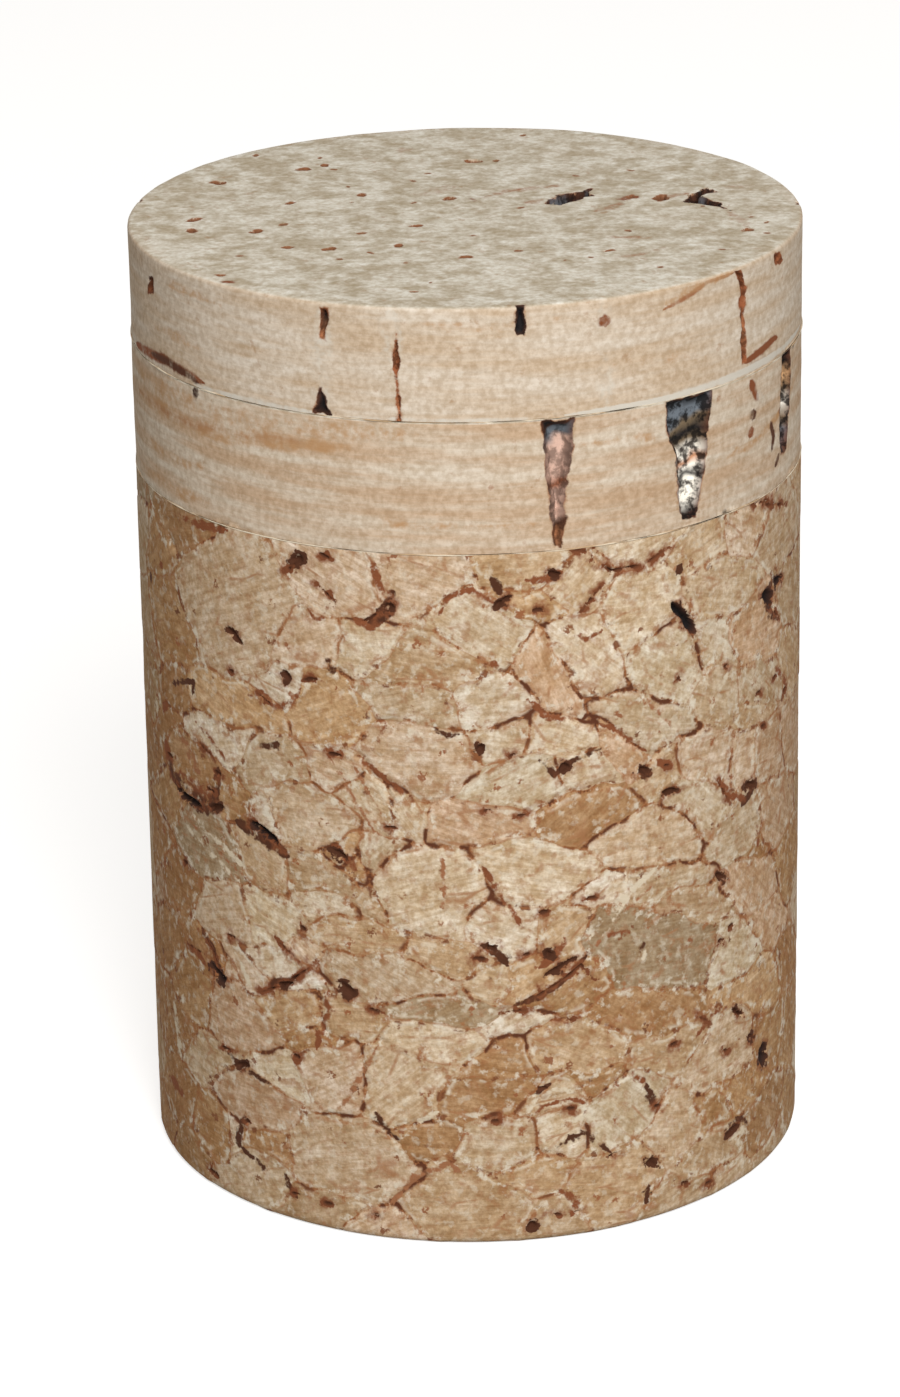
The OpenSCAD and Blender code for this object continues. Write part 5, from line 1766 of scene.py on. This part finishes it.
    def build(self) -> Object:
        """Builds the mesh of the body with what its skin reads.

        Returns:
            The new piece, still smooth and without its skin.
        """
        self.side = Mosaic(self.side_granules(), True)
        self.foot = Mosaic(self.foot_granules(), False)
        openings, strokes = self.openings(), Stroke.listed(BODY_STROKES)
        self.shape(openings, strokes)
        shell = self.shell
        own, other, distance = self.sort(shell.points)
        gap, _, _ = opened_skin(shell, shell.points, openings)
        free = (gap > self.clearance) & (shell.points[:, 2] < BODY_TOP - self.clearance)
        off_rounding = np.abs(np.hypot(*shell.points[:, :2].T) - (CORK_R - self.foot_edge / 2))
        free &= off_rounding > self.foot_edge / 2 - 0.001
        on_seam = shell.draw_to_seams(own, distance, free)
        own, other, distance = self.sort(shell.points)
        distance[on_seam] = 0
        gap, depth, inside = opened_skin(shell, shell.points, openings)
        face_own, _, _ = self.sort(shell.middles())
        granules = self.side.granules + self.foot.granules
        tints = np.array([linear(g.tint.value) * between(0.92, 1.08, n + 0.7)
                          for n, g in enumerate(granules)])
        levels = np.array([between(-1, 0, n + 0.4) for n in range(len(granules))])
        return shell_piece("agglomerate_skin", shell, {
            "seam": distance, "strength": self.seam_strength(own, other),
            "depth": depth, "level": levels[own] * ease(distance, 0, 0.4), "gap": gap,
            "inside": inside, "stain": stroked(shell, shell.points, strokes),
            "tint": np.append(tints[face_own], np.ones((len(face_own), 1)), axis=1),
            "grain": self.grain(face_own)})

    def dress(self, piece: Object) -> None:
        """Sinks the seams and pits, gives the body its skin and seats it."""
        relief_tree(self.groove_depth, self.swell).apply_to(piece, self.finish.make())
        seat(piece, "agglomerated_cork", "agglomerate_body")


@dataclass
class NaturalDisc:
    """One disc of natural cork, with lenticels up its side and pores on its face."""

    name: str
    node: str
    low: float
    high: float
    edges: tuple[float, float]
    finish: NaturalFinish
    lenticels: list[Lenticel]
    strokes: list[Stroke]
    face_openings: list[Opening] = field(default_factory=list)
    spacing: float = 0.3
    joint_spacing: float = 3.0
    face_spacing: float = 3.0
    strong: float = 0.5
    lip_bands: tuple[float, float] = (0.32, 0.16)
    lip_depth: float = 1.2
    stroke_bands: tuple[float, float] = (0.15, 0.05)
    swell: float = 0.05

    def shaped(self, openings: list[Opening]) -> Shell:
        """Shapes the disc's shell, finer at its openings and strong strokes.

        Args:
            openings: the disc's openings.

        Returns:
            The shell.
        """
        steps = (self.joint_spacing, self.spacing, self.face_spacing)
        shell = Shell.turned(turned_profile(self.low, self.high, self.edges, steps))
        for band in self.lip_bands:
            gap, _, _ = opened_skin(shell, shell.middles(), openings)
            shell.refine((gap < band) & (gap > -self.lip_depth))
        marks = [stroke for stroke in self.strokes
                 if stroke.strength > self.strong and stroke.mark is not BAND and not stroke.on_end]
        for band in self.stroke_bands:
            shell.refine(stroke_gap(shell, shell.middles(), marks) < band)
        return shell

    def build(self) -> Object:
        """Builds the mesh of the disc with what its skin reads.

        Returns:
            The new piece, still smooth and without its skin.
        """
        openings = self.lenticels + self.face_openings
        shell = self.shaped(openings)
        gap, depth, inside = opened_skin(shell, shell.points, openings)
        level = 0.5 * ripple(shell.points, 3.2, 31) + 0.2 * ripple(shell.points, 0.9, 32) - 0.7
        on_side = np.hypot(*shell.points[:, :2].T) > CORK_R - 0.6
        return shell_piece(self.name, shell, {
            "depth": depth, "level": level * np.where(on_side, 1, 0.6),
            "seam": np.full(len(level), FAR), "strength": np.zeros(len(level)),
            "gap": gap, "inside": inside,
            "stain": stroked(shell, shell.points, self.strokes)})

    def dress(self, piece: Object) -> None:
        """Sinks the lenticels and pores, gives the disc its skin and seats it."""
        relief_tree(0, self.swell).apply_to(piece, self.finish.make(self.high))
        seat(piece, "natural_cork", self.node)


@dataclass
class GlueJoint:
    """The irregular bead of glue that shows round a joint between two pieces."""

    name: str
    height: float
    seed: float
    bead_r: float = 0.035
    inset: float = 0.02
    waver: float = 0.08
    swings: float = 0.9
    lumps: float = 0.4
    points: int = 720
    sides: int = 8

    def build(self) -> Object:
        """Makes an empty piece for the tree to fill."""
        return linked(bpy.data.objects.new(self.name, bpy.data.meshes.new(self.name)))

    def tree(self) -> ModifierTree:
        """Builds the tree that sweeps the bead round the joint.

        Returns:
            The tree, with the joint's sizes and seed as its inputs.
        """
        made = ModifierTree("glue bead", {
            "Ring Radius": (CORK_R - self.inset) * MM, "Height": self.height * MM,
            "Bead Radius": self.bead_r * MM, "Waver": self.waver * MM, "Seed": self.seed})
        w, given = made.wiring, made.given
        place = w.add("GeometryNodeInputPosition").outputs[0]

        def circle(points: int, radius: Socket) -> Socket:
            """Adds a flat ring of points."""
            return w.add("GeometryNodeCurvePrimitiveCircle",
                         {"Resolution": points, "Radius": radius}).outputs[0]

        def noise(swings: float, detail: float) -> Socket:
            """Adds noise at a number of swings per millimetre."""
            return w.add("ShaderNodeTexNoise", {
                "Vector": place, "W": given["Seed"], "Scale": swings / MM, "Detail": detail},
                noise_dimensions="4D").outputs[0]

        rise = w.calc("MULTIPLY", w.calc("SUBTRACT", noise(self.swings, 3), 0.5), given["Waver"])
        lift = w.add("ShaderNodeCombineXYZ", {2: w.calc("ADD", rise, given["Height"])})
        ring = w.add("GeometryNodeSetPosition", {
            "Geometry": circle(self.points, given["Ring Radius"]),
            "Offset": lift.outputs[0]}).outputs[0]
        made.close(w.add("GeometryNodeCurveToMesh", {
            "Curve": ring, "Profile Curve": circle(self.sides, given["Bead Radius"]),
            "Scale": w.ranged(noise(self.lumps, 2), 0.4, 0.6, 0.1, 1)}).outputs[0])
        return made

    def dress(self, piece: Object) -> None:
        """Sweeps the bead, gives it its skin and seats it.

        Args:
            piece: the empty piece.
        """
        self.tree().apply_to(piece, GlueFinish().make())
        piece.data.shade_smooth()
        seat(piece, "natural_cork")


def inner_disc() -> NaturalDisc:
    """Describes the disc that is glued on the body."""
    finish = NaturalFinish("inner disc cork", (219, 204, 184), (201, 172, 142))
    return NaturalDisc("inner_disc_skin", "inner_disc", BODY_TOP, INNER_TOP,
                       (JOINT_EDGE, JOINT_EDGE), finish,
                       [Lenticel.from_rows(rows, 0.5) for rows in INNER_DISC_LENTICELS],
                       Stroke.listed(INNER_DISC_STROKES))


def outer_disc() -> NaturalDisc:
    """Describes the disc at the wine end."""
    finish = NaturalFinish("outer disc cork", (222, 208, 190), (207, 184, 157), shift=9)
    return NaturalDisc("outer_disc_skin", "outer_disc", INNER_TOP, OUTER_TOP,
                       (JOINT_EDGE, WINE_EDGE), finish,
                       [Lenticel.from_rows(rows, 0.35) for rows in OUTER_DISC_LENTICELS],
                       Stroke.listed(OUTER_DISC_STROKES) + Stroke.listed(WINE_END_STROKES, True),
                       wine_end_openings(), face_spacing=0.3)


def wine_end_openings(fine_pores: int = 34, reach: float = 14.6) -> list[Opening]:
    """Lists what is open in the wine end.

    Args:
        fine_pores: how many scattered pores there are beside the listed ones.
        reach: how far from the axis they lie.

    Returns:
        The gashes, the pores and the fine pores.
    """
    made = [Gash.traced(np.reshape(corners, (-1, 2)), 0.8, DARK, on_end=True, rim=PITCH,
                        flecks=0.8) for corners in WINE_END_GASHES]
    made += [Pit(x, y, 0.7, DARK, True, rim=CLAY, length=size * 1.25, width=size * 0.9,
                 tilt=between(-60, 60, n)) for n, (x, y, size) in enumerate(WINE_END_PORES)]
    for n in range(fine_pores):
        radius, angle = reach * math.sqrt(scatter(n + 3000)), 2 * math.pi * scatter(n + 3200)
        size = between(0.1, 0.22, n + 3400)
        made.append(Pit(radius * math.cos(angle), radius * math.sin(angle), 0.2, SHADE, True,
                        rim=CLAY, length=size * between(1, 2.4, n), width=size,
                        tilt=between(-90, 90, n + 3600)))
    return made


@dataclass
class Studio:
    """The pale floor, the soft lights and the camera."""

    key_azimuth: float = 10
    key_height: float = 38
    key_distance: float = 0.5
    key_size: float = 0.3
    key_power: float = 2.15
    fill: float = 0.28
    fill_colour: Triple = (1, 0.94, 0.86)
    floor_size: float = 3
    floor_tone: float = 0.32
    seen_floor_tone: float = 0.8
    seen_floor_glow: float = 0.62
    lens: float = 135.5
    camera_place: Triple = (0, -233.4, 109.66)
    camera_aim: Triple = (-0.004154, 0.934991, -0.354648)
    camera_roll: float = -0.92

    def floor(self) -> None:
        """Lays the floor, white to the camera and pale to the object."""
        half = self.floor_size / 2
        mesh = bpy.data.meshes.new("studio_floor")
        mesh.from_pydata([(-half, -half, 0), (half, -half, 0), (half, half, 0), (-half, half, 0)],
                         [], [(0, 1, 2, 3)])
        skin = bpy.data.materials.new("studio floor paper")
        skin.use_nodes = True
        skin.node_tree.nodes.clear()
        w = Wiring(skin.node_tree)
        pale, white = (w.add("ShaderNodeBsdfDiffuse", {"Color": (tone, tone, tone, 1)}).outputs[0]
                       for tone in (self.floor_tone, self.seen_floor_tone))
        glow = w.add("ShaderNodeEmission", {"Strength": self.seen_floor_glow}).outputs[0]
        bright = w.add("ShaderNodeAddShader", {0: white, 1: glow}).outputs[0]
        shown = w.add("ShaderNodeMixShader", {0: w.seen(), 1: pale, 2: bright}).outputs[0]
        w.add("ShaderNodeOutputMaterial", {"Surface": shown})
        mesh.materials.append(skin)
        linked(bpy.data.objects.new("studio_floor", mesh))

    def lights(self) -> None:
        """Hangs one large lamp at the front and a bit right, under an even pale sky."""
        azimuth, height = math.radians(self.key_azimuth), math.radians(self.key_height)
        way = Vector((math.sin(azimuth) * math.cos(height), -math.cos(azimuth) * math.cos(height),
                      math.sin(height)))
        lamp = bpy.data.lights.new("key_lamp", "AREA")
        lamp.shape, lamp.size, lamp.energy = "DISK", self.key_size, self.key_power
        key = linked(bpy.data.objects.new("key_lamp", lamp))
        key.location = way * self.key_distance
        key.rotation_euler = (-way).to_track_quat("-Z", "Y").to_euler()
        world = bpy.data.worlds.new("studio_sky")
        world.use_nodes = True
        world.node_tree.nodes.clear()
        w = Wiring(world.node_tree)
        seen = w.seen()
        tone = w.mix(seen, (*self.fill_colour, 1), (1, 1, 1, 1))
        sky = w.add("ShaderNodeBackground", {
            "Color": tone, "Strength": w.ranged(seen, 0, 1, self.fill, 1)})
        w.add("ShaderNodeOutputWorld", {"Surface": sky.outputs[0]})
        bpy.context.scene.world = world

    def camera(self) -> None:
        """Sets the camera up at the front, looking a bit down."""
        data = bpy.data.cameras.new("view_camera")
        data.lens, data.sensor_width = self.lens, 36
        data.clip_start, data.clip_end = 0.01, 10
        camera = linked(bpy.data.objects.new("view_camera", data))
        turn = Vector(self.camera_aim).normalized().to_track_quat("-Z", "Y").to_matrix()
        roll = Matrix.Rotation(math.radians(self.camera_roll), 3, "Z")
        camera.matrix_world = (Matrix.Translation(Vector(self.camera_place) * MM)
                               @ (turn @ roll).to_4x4())
        bpy.context.scene.camera = camera

    def build(self) -> None:
        """Sets the whole studio up, with plain colour management."""
        bpy.context.scene.view_settings.view_transform = "Standard"
        self.camera()
        self.lights()
        self.floor()


def main() -> None:
    """Builds and dresses the stopper's pieces, then the studio round it."""
    logging.basicConfig(level=logging.INFO, format="%(name)s: %(message)s")
    parts = [AgglomerateBody(), inner_disc(), outer_disc(),
             GlueJoint("body_joint_glue", BODY_TOP, 1), GlueJoint("disc_joint_glue", INNER_TOP, 2)]
    for part in parts:
        part.dress(part.build())
    Studio().build()


if __name__ == "__main__":
    main()
